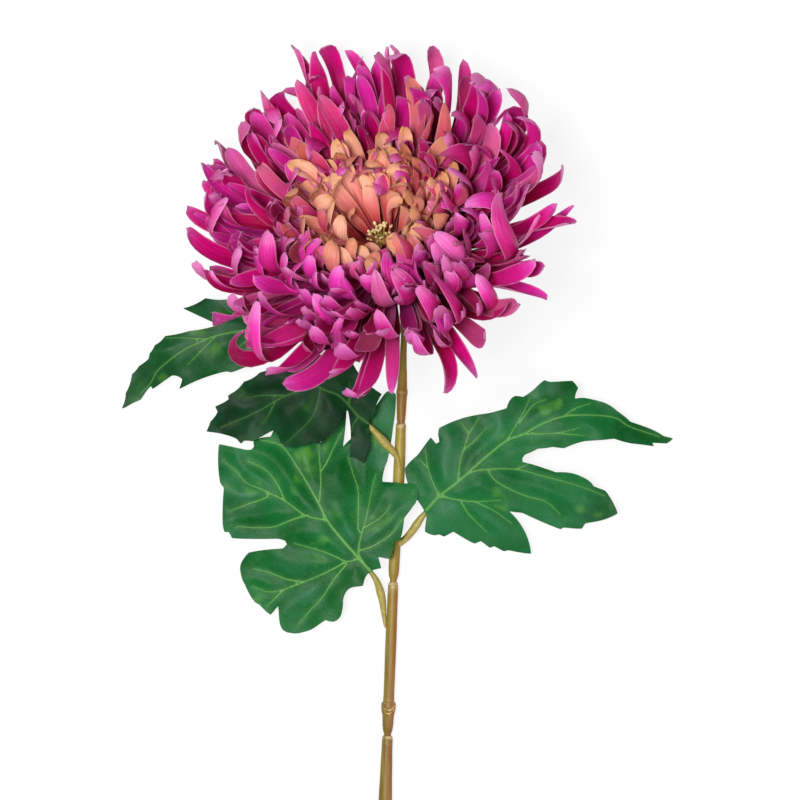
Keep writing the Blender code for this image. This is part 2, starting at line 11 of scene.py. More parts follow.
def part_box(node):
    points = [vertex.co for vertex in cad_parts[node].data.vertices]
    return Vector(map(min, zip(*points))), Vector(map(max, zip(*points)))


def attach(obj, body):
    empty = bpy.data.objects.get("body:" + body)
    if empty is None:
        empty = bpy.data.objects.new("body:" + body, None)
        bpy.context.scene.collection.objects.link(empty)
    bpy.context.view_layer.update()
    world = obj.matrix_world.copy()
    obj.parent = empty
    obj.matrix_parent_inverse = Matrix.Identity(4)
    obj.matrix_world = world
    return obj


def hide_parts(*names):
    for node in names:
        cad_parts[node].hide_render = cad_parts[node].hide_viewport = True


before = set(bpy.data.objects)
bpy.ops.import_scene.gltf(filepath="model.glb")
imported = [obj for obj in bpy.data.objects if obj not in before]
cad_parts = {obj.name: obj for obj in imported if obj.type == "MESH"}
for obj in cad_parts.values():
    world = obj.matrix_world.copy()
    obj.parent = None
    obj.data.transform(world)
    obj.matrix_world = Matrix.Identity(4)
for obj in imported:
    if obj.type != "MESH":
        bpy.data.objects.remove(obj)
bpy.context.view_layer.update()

# Lengths are in millimetres and angles in degrees until a mesh is placed, which makes it metres.
# The plant's own origin lies on the table straight under the middle of the bloom, stem towards -Y.
mm = 0.001
pinLow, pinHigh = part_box("flower_pin")
hub = (pinLow + pinHigh) / 2 / mm
plantPlace = Matrix.Translation((hub.x * mm, hub.y * mm, 0)) @ Matrix.Scale(mm, 4)
hubHeight = hub.z
headAxis = Vector((-0.22, 0.42, 0.87)).normalized()


def headFrame():
    side = (Vector((1, 0, 0)) - headAxis.x * headAxis).normalized()
    turn = Matrix((side, headAxis.cross(side), headAxis)).transposed()
    return Matrix.Translation((0, 0, hubHeight)) @ turn.to_4x4()


headPlace = plantPlace @ headFrame()


# writing node trees as sums


class Wire:
    # one output of a node; its operators add Math nodes, or Vector Math where a side is a vector
    def __init__(self, tree, socket):
        self.tree = tree
        self.socket = socket

    def __getitem__(self, name):
        return Wire(self.tree, self.socket.node.outputs[name])

    def eased(self):
        # 0 to 1 with a soft start and end
        share = self.atLeast(0).atMost(1)
        return share * share * (3 - 2 * share)

    def between(self, low, high):
        # eased share of the way from low to high
        return ((self - low) / (high - low)).eased()


def addOperator(name, operation, turned=False):
    def combined(wire, *others):
        sides = (*others, wire) if turned else (wire, *others)
        return wire.tree.combine(operation, *sides)

    setattr(Wire, name, combined)


signs = {
    "add": "ADD", "sub": "SUBTRACT", "mul": "MULTIPLY", "truediv": "DIVIDE", "pow": "POWER", "mod": "MODULO"
}
words = {
    "atLeast": "MAXIMUM", "atMost": "MINIMUM", "size": "ABSOLUTE", "whole": "FLOOR", "sine": "SINE",
    "cosine": "COSINE", "cross": "CROSS_PRODUCT",
}
for word, operation in signs.items():
    addOperator(f"__{word}__", operation)
    addOperator(f"__r{word}__", operation, turned=True)
for word, operation in words.items():
    addOperator(word, operation)


def isVector(value):
    if isinstance(value, Wire):
        return value.socket.type == "VECTOR"
    return isinstance(value, (tuple, Vector))


class Tree:
    # a shader or geometry tree; add takes a node's type, its inputs and its settings
    def __init__(self, nodeTree):
        self.nodeTree = nodeTree

    def add(self, kind, inputs=None, **settings):
        node = self.nodeTree.nodes.new(kind)
        for name, value in settings.items():
            setattr(node, name, value)
        for name, value in (inputs or {}).items():
            self.feed(node, name, value)
        shown = [socket for socket in node.outputs if socket.enabled]
        return Wire(self, shown[0]) if shown else node

    def feed(self, node, name, value):
        if isinstance(name, int):
            socket = node.inputs[name]
        else:
            socket = next(each for each in node.inputs if each.name == name and each.enabled)
        for each in value if isinstance(value, list) else [value]:
            if isinstance(each, Wire):
                self.nodeTree.links.new(each.socket, socket)
            elif socket.type == "RGBA" and len(each) == 3:
                # three numbers are a colour as a screen shows it
                socket.default_value = paint(*each)
            else:
                socket.default_value = each

    def combine(self, operation, *values):
        vectors = [isVector(value) for value in values]
        if operation == "MULTIPLY" and sum(vectors) == 1:
            vector, number = values if vectors[0] else values[::-1]
            return self.add("ShaderNodeVectorMath", {0: vector, 3: number}, operation="SCALE")
        kind = "ShaderNodeVectorMath" if any(vectors) else "ShaderNodeMath"
        return self.add(kind, dict(enumerate(values)), operation=operation)

    def vector(self, x, y, z):
        return self.add("ShaderNodeCombineXYZ", {"X": x, "Y": y, "Z": z})

    def separate(self, vector):
        return self.add("ShaderNodeSeparateXYZ", {"Vector": vector})

    def place(self):
        # where a point of the piece lies, in a shader tree
        return self.add("ShaderNodeTexCoord")["Object"]

    def attributes(self, *names):
        # numbers stored on the mesh, in a shader tree
        return [self.add("ShaderNodeAttribute", attribute_name=name)["Fac"] for name in names]

    def field(self, name):
        # one such number in a geometry tree
        return self.add("GeometryNodeInputNamedAttribute", {"Name": name}, data_type="FLOAT")

    def store(self, geometry, name, value, domain="POINT"):
        inputs = {"Geometry": geometry, "Name": name, "Value": value}
        return self.add("GeometryNodeStoreNamedAttribute", inputs, data_type="FLOAT", domain=domain)

    def join(self, *geometries):
        return self.add("GeometryNodeJoinGeometry", {"Geometry": list(geometries)})

    def blend(self, share, below, above, how="MIX"):
        inputs = {"Factor": share, "A": below, "B": above}
        return self.add("ShaderNodeMix", inputs, data_type="RGBA", blend_type=how)

    def ramp(self, share, stops):
        # stops are (share, red, green, blue)
        wire = self.add("ShaderNodeValToRGB", {"Fac": share})
        elements = wire.socket.node.color_ramp.elements
        while len(elements) < len(stops):
            elements.new(0.5)
        for element, (position, *colour) in zip(elements, stops):
            element.position = position
            element.color = paint(*colour)
        return wire

    def noise(self, place, scale, detail=2.0, stretch=None):
        if stretch:
            place = self.add("ShaderNodeMapping", {"Vector": place, "Scale": stretch})
        return self.add("ShaderNodeTexNoise", {"Vector": place, "Scale": scale, "Detail": detail})

    def bump(self, height, distance):
        return self.add("ShaderNodeBump", {"Height": height, "Distance": distance * mm, "Strength": 1.0})


def paint(red, green, blue):
    # a colour as a screen shows it, 0 to 255, made linear
    def linear(value):
        value /= 255
        return value / 12.92 if value <= 0.04045 else ((value + 0.055) / 1.055) ** 2.4

    return (linear(red), linear(green), linear(blue), 1.0)


def newMaterial(name):
    material = bpy.data.materials.new(name)
    material.use_nodes = True
    material.node_tree.nodes.clear()
    return material, Tree(material.node_tree)


def finishMaterial(tree, inputs):
    shader = tree.add("ShaderNodeBsdfPrincipled", inputs)
    tree.add("ShaderNodeOutputMaterial", {"Surface": shader})


def newGeometryTree(name, **inputs):
    # inputs are label=socket type; each tree also takes a geometry and a material
    nodeTree = bpy.data.node_groups.new(name, "GeometryNodeTree")
    for label, kind in {"geometry": "Geometry", **inputs, "material": "Material"}.items():
        nodeTree.interface.new_socket(label, in_out="INPUT", socket_type="NodeSocket" + kind)
    nodeTree.interface.new_socket("geometry", in_out="OUTPUT", socket_type="NodeSocketGeometry")
    tree = Tree(nodeTree)
    return tree, tree.add("NodeGroupInput")


def endGeometryTree(tree, geometry, given):
    # every tree ends the same way
    geometry = tree.add("GeometryNodeRealizeInstances", {"Geometry": geometry})
    inputs = {"Geometry": geometry, "Material": given["material"]}
    tree.add("NodeGroupOutput", {"geometry": tree.add("GeometryNodeSetMaterial", inputs)})
    return tree


def storeNumbers(mesh, label, values, domain="POINT"):
    mesh.attributes.new(label, "FLOAT", domain).data.foreach_set("value", values)


def pointMesh(name, points, attributes, edges=()):
    # bare points, each with numbers that a geometry tree reads
    mesh = bpy.data.meshes.new(name)
    mesh.from_pydata([tuple(point) for point in points], list(edges), [])
    for label, values in attributes.items():
        storeNumbers(mesh, label, values)
    return mesh


def addToScene(name, data):
    thing = bpy.data.objects.new(name, data)
    bpy.context.scene.collection.objects.link(thing)
    return thing


def grow(name, mesh, tree, **values):
    # runs a geometry tree over a mesh and returns the plain mesh that comes out
    seed = addToScene(name + "Seed", mesh)
    modifier = seed.modifiers.new(name, "NODES")
    modifier.node_group = tree.nodeTree
    for item in tree.nodeTree.interface.items_tree:
        if item.in_out == "INPUT" and item.name in values:
            modifier[item.identifier] = values[item.name]
    bpy.context.view_layer.update()
    graph = bpy.context.evaluated_depsgraph_get()
    grown = bpy.data.meshes.new_from_object(
        seed.evaluated_get(graph), preserve_all_data_layers=True, depsgraph=graph
    )
    bpy.data.objects.remove(seed)
    return grown


def addPiece(name, mesh, place, node, sharp=60):
    # a finished piece: its place goes into its mesh, and it stands for its solid
    mesh.transform(place)
    mesh.shade_smooth()
    mesh.set_sharp_from_angle(angle=math.radians(sharp))
    mesh.name = name
    piece = addToScene(name, mesh)
    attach(piece, "root")
    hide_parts(node)


# petals: die-cut silk rings, each petal drawn from its ring's rule

bloom = {
    "seed": 415,
    "petalsInRing": (7, 9, 11, 13, 14, 15, 15, 16, 16, 16, 17, 17, 18, 18),
    "innerRings": 5,
    "ringPitch": 1.25,
    "topRingHeight": 7.0,
    "discThickness": 0.9,
    "discRadii": (2.6, 9.0),
    "discSpread": 2.2,
    "holeRadius": 1.5,
    "turnBetweenRings": 137.5,
    "thickness": 0.5,
    "lengths": (26.0, 82.0),
    "lengthSpread": 1.2,
    "lifts": (64.0, 23.0),
    "bends": (-8.0, 2.0),
    "halfWidths": (2.9, 4.0),
    "baseHalfWidths": (0.75, 0.9),
    "rootLength": 3.0,
    "riseLength": 4.0,
    "lowSideAzimuth": 120.0,
    "lowSideLean": 3.4,
    "lowSideCurl": 16.0,
    "stemAzimuth": -81.0,
    "stemGap": 9.0,
    "firstPartedRing": 6,
    "stations": (0.3, 0.56, 0.74, 0.9),
    "roundedFrom": 0.72,
    "roundness": 2.2,
    "channelFull": 0.3,
    "tries": 80,
    "placeSpread": 0.16,
    "liftSpread": 2.5,
    "extraLift": 5.0,
    "curl": 66.0,
    "curlSpread": (-45.0, 55.0),
    "curlStarts": (0.48, 0.68),
    "curlPower": 1.3,
    "swaySpread": 28.0,
    "rollSpread": 55.0,
    "lengthShares": (-0.09, 0.05),
    "widthShares": (0.85, 1.08),
    "cups": (0.25, 0.5),
    "clearance": 0.3,
    "meshClearance": 0.12,
}

# what the silk does beyond the solid
silk = {
    "seed": 12,
    "widenings": (1.26, 1.04),
    "heartEnds": 0.34,
    "heartSway": 46.0,
    "heartLifts": (-16.0, 12.0),
    "heartLengths": (0.8, 1.2),
    "hooks": (-25.0, 35.0),
    "rolledShares": (0.14, 0.16),
    "rolledHook": 70.0,
    "farAzimuth": 88.0,
    "farSway": 34.0,
    "farRelease": (60.0, 4.0),
    "nearHook": (35.0, -25.0),
    "farTrims": (0.1, 0.22, 0.14),
    "stretches": (-0.05, 0.05),
    "outerStretch": 0.08,
    "headReach": (71.5, 8.5),
    "headReachAzimuth": 105.0,
    "reachSpread": (0.88, 1.05),
    "longestStretch": 1.2,
    "fullFrom": 0.84,
    "tallest": 91.0,
    "stemGaps": (0.0, 9.0),
    "calmBeside": 24.0,
    "leastLively": 0.2,
    "hookFrom": 0.6,
    "slants": (-65.0, 65.0),
    "slantFrom": 0.5,
    "slantPower": 1.5,
    "twists": (-65.0, 65.0),
    "twistFrom": 0.55,
    "folds": (0.5, 1.5),
    "leastFold": 0.08,
    "tipOpening": 0.6,
    "tipRoundness": 2.8,
    "ruffles": (0.2, 1.1),
    "ruffleWaves": 9.0,
    "ruffleLean": 1.2,
    "phases": (0, 6.28),
    "betweenCounts": (0, 0, 0, 0, 1, 1, 1, 2, 2, 2, 2, 2, 2, 2),
    "betweenLengths": ((0.72, 0.64), (0.8, 0.98)),
    "betweenLifts": (3.0, 10.0),
    "betweenSpread": 0.16,
    "standingFrom": (0.42, 0.56),
    "standingTo": (0.66, 0.82),
    "standingRise": 16.0,
    "standingTrim": 0.16,
    "standingHook": 18.0,
    "warmRings": (1.5, 5.6),
    "warmFar": 0.3,
    "warmSpread": 0.25,
    "rows": 16,
    "columns": 8,
    "rowCrowding": 1.3,
    "thickness": 0.35,
    "edgePower": 4,
    "tipPower": 12,
    "rootSlope": 30,
    "discMargin": 0.5,
    "discSides": 32,
    "weldDistance": 0.01,
}


def mixed(pair, t):
    return pair[0] + (pair[1] - pair[0]) * t


def smooth(t):
    t = min(1.0, max(0.0, t))
    return t * t * (3 - 2 * t)


def eased(value, low, high):
    return smooth((value - low) / (high - low))


def eitherWay(rng, spread):
    return rng.uniform(-spread, spread)


def past(u, start):
    # from 0 at start to 1 at the petal's tip, for numbers and for node outputs
    share = (u - start) / (1 - start)
    return share.atLeast(0) if isinstance(share, Wire) else max(0.0, share)


def pointing(up, aside):
    return Vector((math.cos(up) * math.cos(aside), math.cos(up) * math.sin(aside), math.sin(up)))


def fromStem(azimuth):
    return (azimuth - bloom["stemAzimuth"] + 180) % 360 - 180


def moveGap(azimuth, before, after):
    # moves the petals beside the stem so that their gap goes from one width to another on each side
    offset = fromStem(azimuth)
    reach = 3 * bloom["stemGap"]
    if abs(offset) >= reach:
        return azimuth
    left = after[offset > 0]
    spread = left + max(0, abs(offset) - before) * (reach - left) / (reach - before)
    return bloom["stemAzimuth"] + math.copysign(spread, offset)


def placeInHead(petal):
    turn = Matrix.Rotation(math.radians(petal["azimuth"]), 4, "Z")
    return Matrix.Translation((0, 0, petal["height"])) @ turn


def ringRule(index):
    t = index / (len(bloom["petalsInRing"]) - 1)
    return {
        "t": t,
        "index": index,
        "height": bloom["topRingHeight"] - bloom["ringPitch"] * index,
        "radius": mixed(bloom["discRadii"], 1 - (1 - t) ** bloom["discSpread"]),
        "length": mixed(bloom["lengths"], 1 - (1 - t) ** bloom["lengthSpread"]),
        "lift": mixed(bloom["lifts"], t),
        "bend": mixed(bloom["bends"], t),
        "halfWidth": mixed(bloom["halfWidths"], t),
        "baseHalfWidth": mixed(bloom["baseHalfWidths"], t),
    }


def drawCurve(rng, low=0, lively=1):
    return {
        "curl": bloom["curl"] + bloom["lowSideCurl"] * low + rng.uniform(*bloom["curlSpread"]) * lively,
        "curlStart": rng.uniform(*bloom["curlStarts"]),
        "sway": eitherWay(rng, bloom["swaySpread"]) * lively,
        "roll": eitherWay(rng, bloom["rollSpread"]) * lively,
    }


def drawPetal(rule, place, rng, calm):
    # calm goes from 0, as lively as the rest, to 1, quite regular
    lively = 1 - calm
    pitch = 360 / bloom["petalsInRing"][rule["index"]]
    azimuth = place * pitch + rule["index"] * bloom["turnBetweenRings"]
    azimuth += eitherWay(rng, bloom["placeSpread"]) * pitch * lively
    if rule["index"] >= bloom["firstPartedRing"]:
        azimuth = moveGap(azimuth, 0, (bloom["stemGap"], bloom["stemGap"]))
    low = rule["t"] * math.cos(math.radians(azimuth - bloom["lowSideAzimuth"]))
    lift = rule["lift"] - bloom["lowSideLean"] * low
    return {
        **rule,
        "azimuth": azimuth % 360,
        "length": rule["length"] * (1 + rng.uniform(*bloom["lengthShares"]) * lively),
        "lift": lift + eitherWay(rng, bloom["liftSpread"]) * lively + bloom["extraLift"] * calm,
        **drawCurve(rng, low, lively),
        "halfWidth": rule["halfWidth"] * rng.uniform(*bloom["widthShares"]),
        "cup": rng.uniform(*bloom["cups"]),
    }


def petalDirection(petal, u):
    up = petal["lift"] * smooth(u * petal["length"] / bloom["riseLength"])
    up += petal["bend"] * u + petal["curl"] * past(u, petal["curlStart"]) ** bloom["curlPower"]
    return math.radians(up), math.radians(petal["sway"] * u * u)


def petalHalfWidth(petal, u):
    swell = smooth(u / bloom["roundedFrom"])
    width = petal["baseHalfWidth"] * (1 - swell) + petal["halfWidth"] * swell
    return width * math.sqrt(max(0.0, 1 - past(u, bloom["roundedFrom"]) ** bloom["roundness"]))


def petalFrames(petal, stations, steps=60):
    # the centre, side and normal at each station, found by walking along the petal
    frames = []
    point = Vector((petal["radius"], 0, 0))
    wanted = list(stations)
    for step in range(steps + 1):
        u = step / steps
        up, aside = petalDirection(petal, u)
        along = pointing(up, aside)
        side = Vector((-math.sin(aside), math.cos(aside), 0))
        normal = along.cross(side)
        while wanted and u >= wanted[0] - 1e-6:
            roll = Matrix.Rotation(math.radians(petal["roll"]) * wanted[0], 3, along)
            frames.append((point.copy(), roll @ side, roll @ normal))
            wanted.pop(0)
        point += along * petal["length"] / steps
    return frames


def roughPetal(petal):
    # the petal's solid, from its root outwards, which decides whether it clears the others
    radius, half = petal["radius"], bloom["discThickness"] / 2
    spread = petal["baseHalfWidth"] / radius
    inset, width = radius * math.cos(spread), radius * math.sin(spread)
    corners = ((inset, -width, 0), (radius, 0, half), (inset, width, 0), (radius, 0, -half))
    sections = [[Vector(corner) for corner in corners]]
    stations = (bloom["rootLength"] / petal["length"], *bloom["stations"])
    frames = petalFrames(petal, (*stations, 1.0))
    half = bloom["thickness"] / 2
    for u, (centre, side, normal) in zip(stations, frames):
        width = petalHalfWidth(petal, u)
        edge = normal * petal["cup"] * width * smooth(u / bloom["channelFull"])
        corners = (edge - side * width, normal * half, edge + side * width, -normal * half)
        sections.append([centre + corner for corner in corners])
    place = placeInHead(petal)
    vertices = [place @ corner for section in sections for corner in section] + [place @ frames[-1][0]]
    faces = []
    last = len(sections) - 1
    for k in range(last):
        for i in range(4):
            near, nextNear = 4 * k + i, 4 * k + (i + 1) % 4
            far, nextFar = near + 4, nextNear + 4
            if i % 2:
                faces += [(near, far, nextNear), (far, nextFar, nextNear)]
            else:
                faces += [(near, far, nextFar), (near, nextFar, nextNear)]
    faces += [(4 * last + i, len(vertices) - 1, 4 * last + (i + 1) % 4) for i in range(4)]
    return vertices, faces


def planPetals():
    # the same draws as the solids', so every long silk petal starts as its own solid
    rng = random.Random(bloom["seed"])
    toPlant = headFrame()
    placed = []
    plan = []
    for index, count in enumerate(bloom["petalsInRing"]):
        rule = ringRule(index)
        ring = []
        for place in range(count):
            for attempt in range(bloom["tries"]):
                petal = drawPetal(rule, place, rng, attempt / bloom["tries"])
                vertices, faces = roughPetal(petal)
                tree = BVHTree.FromPolygons(vertices, faces, epsilon=bloom["meshClearance"])
                lowest = min((toPlant @ vertex).z for vertex in vertices)
                if lowest >= bloom["clearance"] and not any(tree.overlap(other) for other in placed):
                    break
            placed.append(tree)
            ring.append(petal)
        plan.append(ring)
    return plan


def petalsBetween(ring, rng):
    # the shorter petals of a ring, which stand in its gaps and hide the bodies of the long ones
    between = []
    count = silk["betweenCounts"][ring[0]["index"]]
    lengths = [mixed(pair, ring[0]["t"]) for pair in silk["betweenLengths"]]
    for petal, following in zip(ring, [*ring[1:], ring[0]]):
        gap = (following["azimuth"] - petal["azimuth"]) % 360
        for k in range(count):
            share = (k + 1) / (count + 1) + eitherWay(rng, silk["betweenSpread"])
            between.append({
                **petal,
                "azimuth": petal["azimuth"] + gap * share,
                "length": petal["length"] * rng.uniform(*lengths),
                "lift": petal["lift"] + rng.uniform(*silk["betweenLifts"]),
                **drawCurve(rng),
                "between": True,
            })
    return between


def dressPetal(petal, rng):
    # gives a petal its own silk: hook, slant, twist, fold, ruffle and shade
    early, middle, late = silk["farTrims"]
    t = petal["t"]
    far = math.cos(math.radians(petal["azimuth"] - silk["farAzimuth"]))
    beyond = max(0, far)
    petal["hook"] = rng.uniform(*silk["hooks"])
    if rng.random() < mixed(silk["rolledShares"], t):
        petal["hook"] += silk["rolledHook"]
    # the shorter petals of the middle rings stand up on the far side, one behind the other
    standing = 0
    if "between" in petal:
        standing = eased(t, *silk["standingFrom"]) * (1 - eased(t, *silk["standingTo"])) * beyond
    petal["lift"] += silk["standingRise"] * standing
    petal["length"] *= 1 - silk["standingTrim"] * standing
    petal["hook"] += silk["standingHook"] * standing
    petal["hook"] -= mixed(silk["farRelease"], t) * (1 - standing) * beyond
    petal["hook"] += mixed(silk["nearHook"], t) * max(0, -far)
    trim = mixed((early, middle), 2 * t) if t < 0.5 else mixed((middle, late), 2 * t - 1)
    petal["length"] *= 1 - trim * beyond * rng.random() + rng.uniform(*silk["stretches"])
    petal["length"] *= 1 + silk["outerStretch"] * t
    petal["sway"] += eitherWay(rng, silk["farSway"]) * t * beyond
    # the heart is untidy: its petals lean over each other
    heart = 1 - min(1, t / silk["heartEnds"])
    petal["sway"] += eitherWay(rng, silk["heartSway"]) * heart
    petal["lift"] += rng.uniform(*silk["heartLifts"]) * heart
    petal["length"] *= 1 + (rng.uniform(*silk["heartLengths"]) - 1) * heart
    petal["halfWidth"] *= mixed(silk["widenings"], t)
    for name in ("slant", "twist", "fold", "ruffle", "phase"):
        petal[name] = rng.uniform(*silk[name + "s"])
    petal["tone"] = rng.random()
    first, fade = silk["warmRings"]
    warm = first - petal["index"] / fade + silk["warmFar"] * far + eitherWay(rng, silk["warmSpread"])
    petal["warm"] = min(1.0, max(0.0, warm))
    if petal["index"] >= bloom["firstPartedRing"]:
        # the silk closes the gap that the solids leave for the stem, on one of its sides
        petal["azimuth"] = moveGap(petal["azimuth"], bloom["stemGap"], silk["stemGaps"])
        beside = abs(fromStem(petal["azimuth"])) / silk["calmBeside"]
        for name in ("sway", "slant", "roll"):
            petal[name] *= min(1, silk["leastLively"] + (1 - silk["leastLively"]) * beside * beside)


def silkReach(petal, steps=30):
    # how far the petal comes from the hub in plan, in which direction, and its greatest height
    place = headFrame() @ placeInHead(petal)
    point = Vector((petal["radius"], 0, 0))
    farthest = Vector((0, 0))
    top = 0
    for step in range(steps):
        u = (step + 0.5) / steps
        up, aside = petalDirection(petal, u)
        up += math.radians(petal["hook"]) * past(u, silk["hookFrom"])
        aside += math.radians(petal["slant"]) * past(u, silk["slantFrom"]) ** silk["slantPower"]
        point += pointing(up, aside) * petal["length"] / steps
        spot = place @ point
        top = max(top, spot.z)
        if spot.to_2d().length > farthest.length:
            farthest = spot.to_2d()
    return farthest.length, math.degrees(math.atan2(farthest.y, farthest.x)), top


def fitToHead(petal, rng):
    # no petal sticks out of the head, and the lowest rings fill it to its edge
    reach, direction, _ = silkReach(petal)
    middle, more = silk["headReach"]
    wanted = middle + more * math.cos(math.radians(direction - silk["headReachAzimuth"]))
    wanted *= rng.uniform(*silk["reachSpread"])
    if reach > wanted or petal["t"] > silk["fullFrom"]:
        scale = (wanted - petal["radius"]) / (reach - petal["radius"])
        petal["length"] *= min(scale, silk["longestStretch"])
    # cutting a petal changes its curve, so that its height is cut in a few rounds
    for _ in range(3):
        top = silkReach(petal)[2]
        if top > silk["tallest"]:
            petal["length"] *= (silk["tallest"] - hubHeight) / (top - hubHeight)


def dressPetals(plan):
    rng = random.Random(silk["seed"])
    for ring in plan:
        ring += petalsBetween(ring, rng)
        for petal in ring:
            dressPetal(petal, rng)
            fitToHead(petal, rng)


petalNumbers = (
    "azimuth", "height", "radius", "length", "lift", "bend", "curl", "curlStart", "sway", "roll",
    "halfWidth", "baseHalfWidth", "hook", "slant", "twist", "fold", "ruffle", "phase", "tone", "warm",
)


def buildPetalTree():
    labels = ("roundedFrom", "hookFrom", "discRadius", "discHeight")
    tree, given = newGeometryTree("petalRing", **dict.fromkeys(labels, "Float"))
    rows, columns = silk["rows"], silk["columns"]
    degree = math.radians(1)

    # one flat sheet for each point, with its place along and across the petal
    sheet = tree.add("GeometryNodeMeshGrid", {"Vertices X": rows + 1, "Vertices Y": columns + 1})
    spot = tree.separate(tree.add("GeometryNodeInputPosition"))
    sheet = tree.store(sheet, "share", spot["X"] + 0.5)
    sheet = tree.store(sheet, "across", spot["Y"] * 2)
    sheets = tree.add("GeometryNodeInstanceOnPoints", {"Points": given["geometry"], "Instance": sheet})
    sheets = tree.add("GeometryNodeRealizeInstances", {"Geometry": sheets})

    number = {name: tree.field(name) for name in petalNumbers}
    share, across = tree.field("share"), tree.field("across")

    def alongAt(place):
        # rows crowd towards the tip, which bends most
        return 1 - (1 - place).atLeast(0) ** silk["rowCrowding"]

    def directionAt(u):
        up = number["lift"] * (u * number["length"] / bloom["riseLength"]).eased()
        curl = number["curl"] * past(u, number["curlStart"]) ** bloom["curlPower"]
        up = (up + number["bend"] * u + curl + number["hook"] * past(u, given["hookFrom"])) * degree
        slant = number["slant"] * past(u, silk["slantFrom"]) ** silk["slantPower"]
        aside = (number["sway"] * u * u + slant) * degree
        flat = up.cosine()
        return tree.vector(flat * aside.cosine(), flat * aside.sine(), up.sine()), aside

    # the centre line is the running sum of short steps, row by row
    u = alongAt(share)
    following = alongAt(share + 1 / rows)
    step, _ = directionAt((u + following) / 2)
    index = tree.add("GeometryNodeInputIndex")
    inRow = columns + 1
    line = (index / (inRow * (rows + 1))).whole() * inRow + index % inRow
    steps = {"Value": step * ((following - u) * number["length"]), "Group ID": line}
    walked = tree.add("GeometryNodeAccumulateField", steps, data_type="FLOAT_VECTOR")["Trailing"]
    centre = tree.vector(number["radius"], 0.0, 0.0) + walked

    along, aside = directionAt(u)
    flatSide = tree.vector(aside.sine() * -1, aside.cosine(), 0.0)
    upright = along.cross(flatSide)
    late = past(u, silk["twistFrom"])
    roll = (number["roll"] * u + number["twist"] * late * late) * degree
    side = flatSide * roll.cosine() + upright * roll.sine()
    normal = upright * roll.cosine() - flatSide * roll.sine()

    # a channel in cross-section that opens at the root and at the rounded tip
    swell = (u / given["roundedFrom"]).eased()
    width = number["baseHalfWidth"] * (1 - swell) + number["halfWidth"] * swell
    tip = past(u, given["roundedFrom"])
    width = width * (1 - tip ** silk["tipRoundness"]).atLeast(0) ** 0.5
    fold = number["fold"] * (u / bloom["channelFull"]).eased() * (1 - silk["tipOpening"] * tip)
    fold = fold.atLeast(silk["leastFold"])
    angle = fold * across
    wave = (u * silk["ruffleWaves"] + number["phase"] + across * silk["ruffleLean"]).sine()
    wave = wave * number["ruffle"] * across * across * swell
    inner = side * (width * angle.sine() / fold)
    raised = normal * (width * (1 - angle.cosine()) / fold + wave)
    outward = normal * angle.cosine() - side * angle.sine()
    # full thickness inside, and thin at the edges, the tip and the root
    rim = (1 - across ** silk["edgePower"]).atLeast(0) ** 0.5
    rim = rim * (1 - u ** silk["tipPower"]).atLeast(0) ** 0.5 * (u * silk["rootSlope"]).eased()
    lift = outward * (rim * silk["thickness"] / 2)

    def skin(offset):
        inputs = {"Vector": centre + inner + raised + offset, "Angle": number["azimuth"] * degree}
        place = tree.add("ShaderNodeVectorRotate", inputs, rotation_type="Z_AXIS")
        place = place + tree.vector(0.0, 0.0, number["height"])
        return tree.add("GeometryNodeSetPosition", {"Geometry": sheets, "Position": place})

    front = tree.store(skin(lift), "reverse", 0.0, "FACE")
    back = tree.add("GeometryNodeFlipFaces", {"Mesh": skin(lift * -1)})
    back = tree.store(back, "reverse", 1.0, "FACE")
    petals = tree.store(tree.join(front, back), "along", alongAt(tree.field("share")))
    inputs = {"Geometry": petals, "Distance": silk["weldDistance"]}
    petals = tree.add("GeometryNodeMergeByDistance", inputs)

    # the disc that carries them
    outer, hole = given["discRadius"] + silk["discMargin"], bloom["holeRadius"]
    inputs = {"Resolution": silk["discSides"], "Radius": (outer + hole) / 2}
    circle = tree.add("GeometryNodeCurvePrimitiveCircle", inputs)
    inputs = {"Width": outer - hole, "Height": bloom["discThickness"]}
    section = tree.add("GeometryNodeCurvePrimitiveQuadrilateral", inputs)
    disc = tree.add("GeometryNodeCurveToMesh", {"Curve": circle, "Profile Curve": section})
    inputs = {"Geometry": disc, "Offset": tree.vector(0.0, 0.0, given["discHeight"])}
    disc = tree.add("GeometryNodeSetPosition", inputs)
    return endGeometryTree(tree, tree.join(petals, disc), given)


# ramps hold (share of the petal's length, red, green, blue), and scales count cells in a metre
silkLook = {
    # in the front and back ramps the dark stops at the root are painted shade, and the light stops at the
    # tip are partly a painted highlight
    "front": (
        (0.0, 84, 0, 26), (0.35, 136, 0, 54), (0.64, 184, 0, 92),
        (0.86, 220, 12, 136), (0.95, 240, 66, 178), (1.0, 255, 140, 214),
    ),
    "back": (
        (0.0, 100, 0, 38), (0.35, 164, 0, 78), (0.7, 212, 10, 128), (0.9, 236, 56, 170),
        (1.0, 255, 146, 220),
    ),
    # the salmon and amber ramps darken at the root as painted shade
    "salmon": (
        (0.0, 136, 14, 40), (0.3, 212, 78, 80), (0.65, 252, 160, 146), (0.88, 255, 190, 156),
        (1.0, 236, 166, 96),
    ),
    "amber": (
        (0.0, 86, 0, 26), (0.35, 136, 12, 34), (0.7, 186, 62, 46), (0.9, 222, 128, 62),
        (1.0, 196, 124, 48),
    ),
    "salmonBack": (232, 156, 146),
    "blush": (250, 168, 214),
    "plum": (214, 60, 190),
    "wine": (156, 2, 48),
    "cloud": (240, 140, 196),
    "fibre": (110, 16, 56),
    "edge": (250, 184, 220),
    "warmEdge": (246, 210, 164),
    "sheen": (255, 190, 225),
    "sheenWeight": 0.03,
    "roughness": 0.34,
    "specular": 0.3,
    "glowThrough": 0.12,
    "glowReach": (0.004, 0.0012, 0.0018),
    "relief": 0.14,
    "ribs": 21,
    "cloudScale": 260,
    "weaveScale": 4200,
}


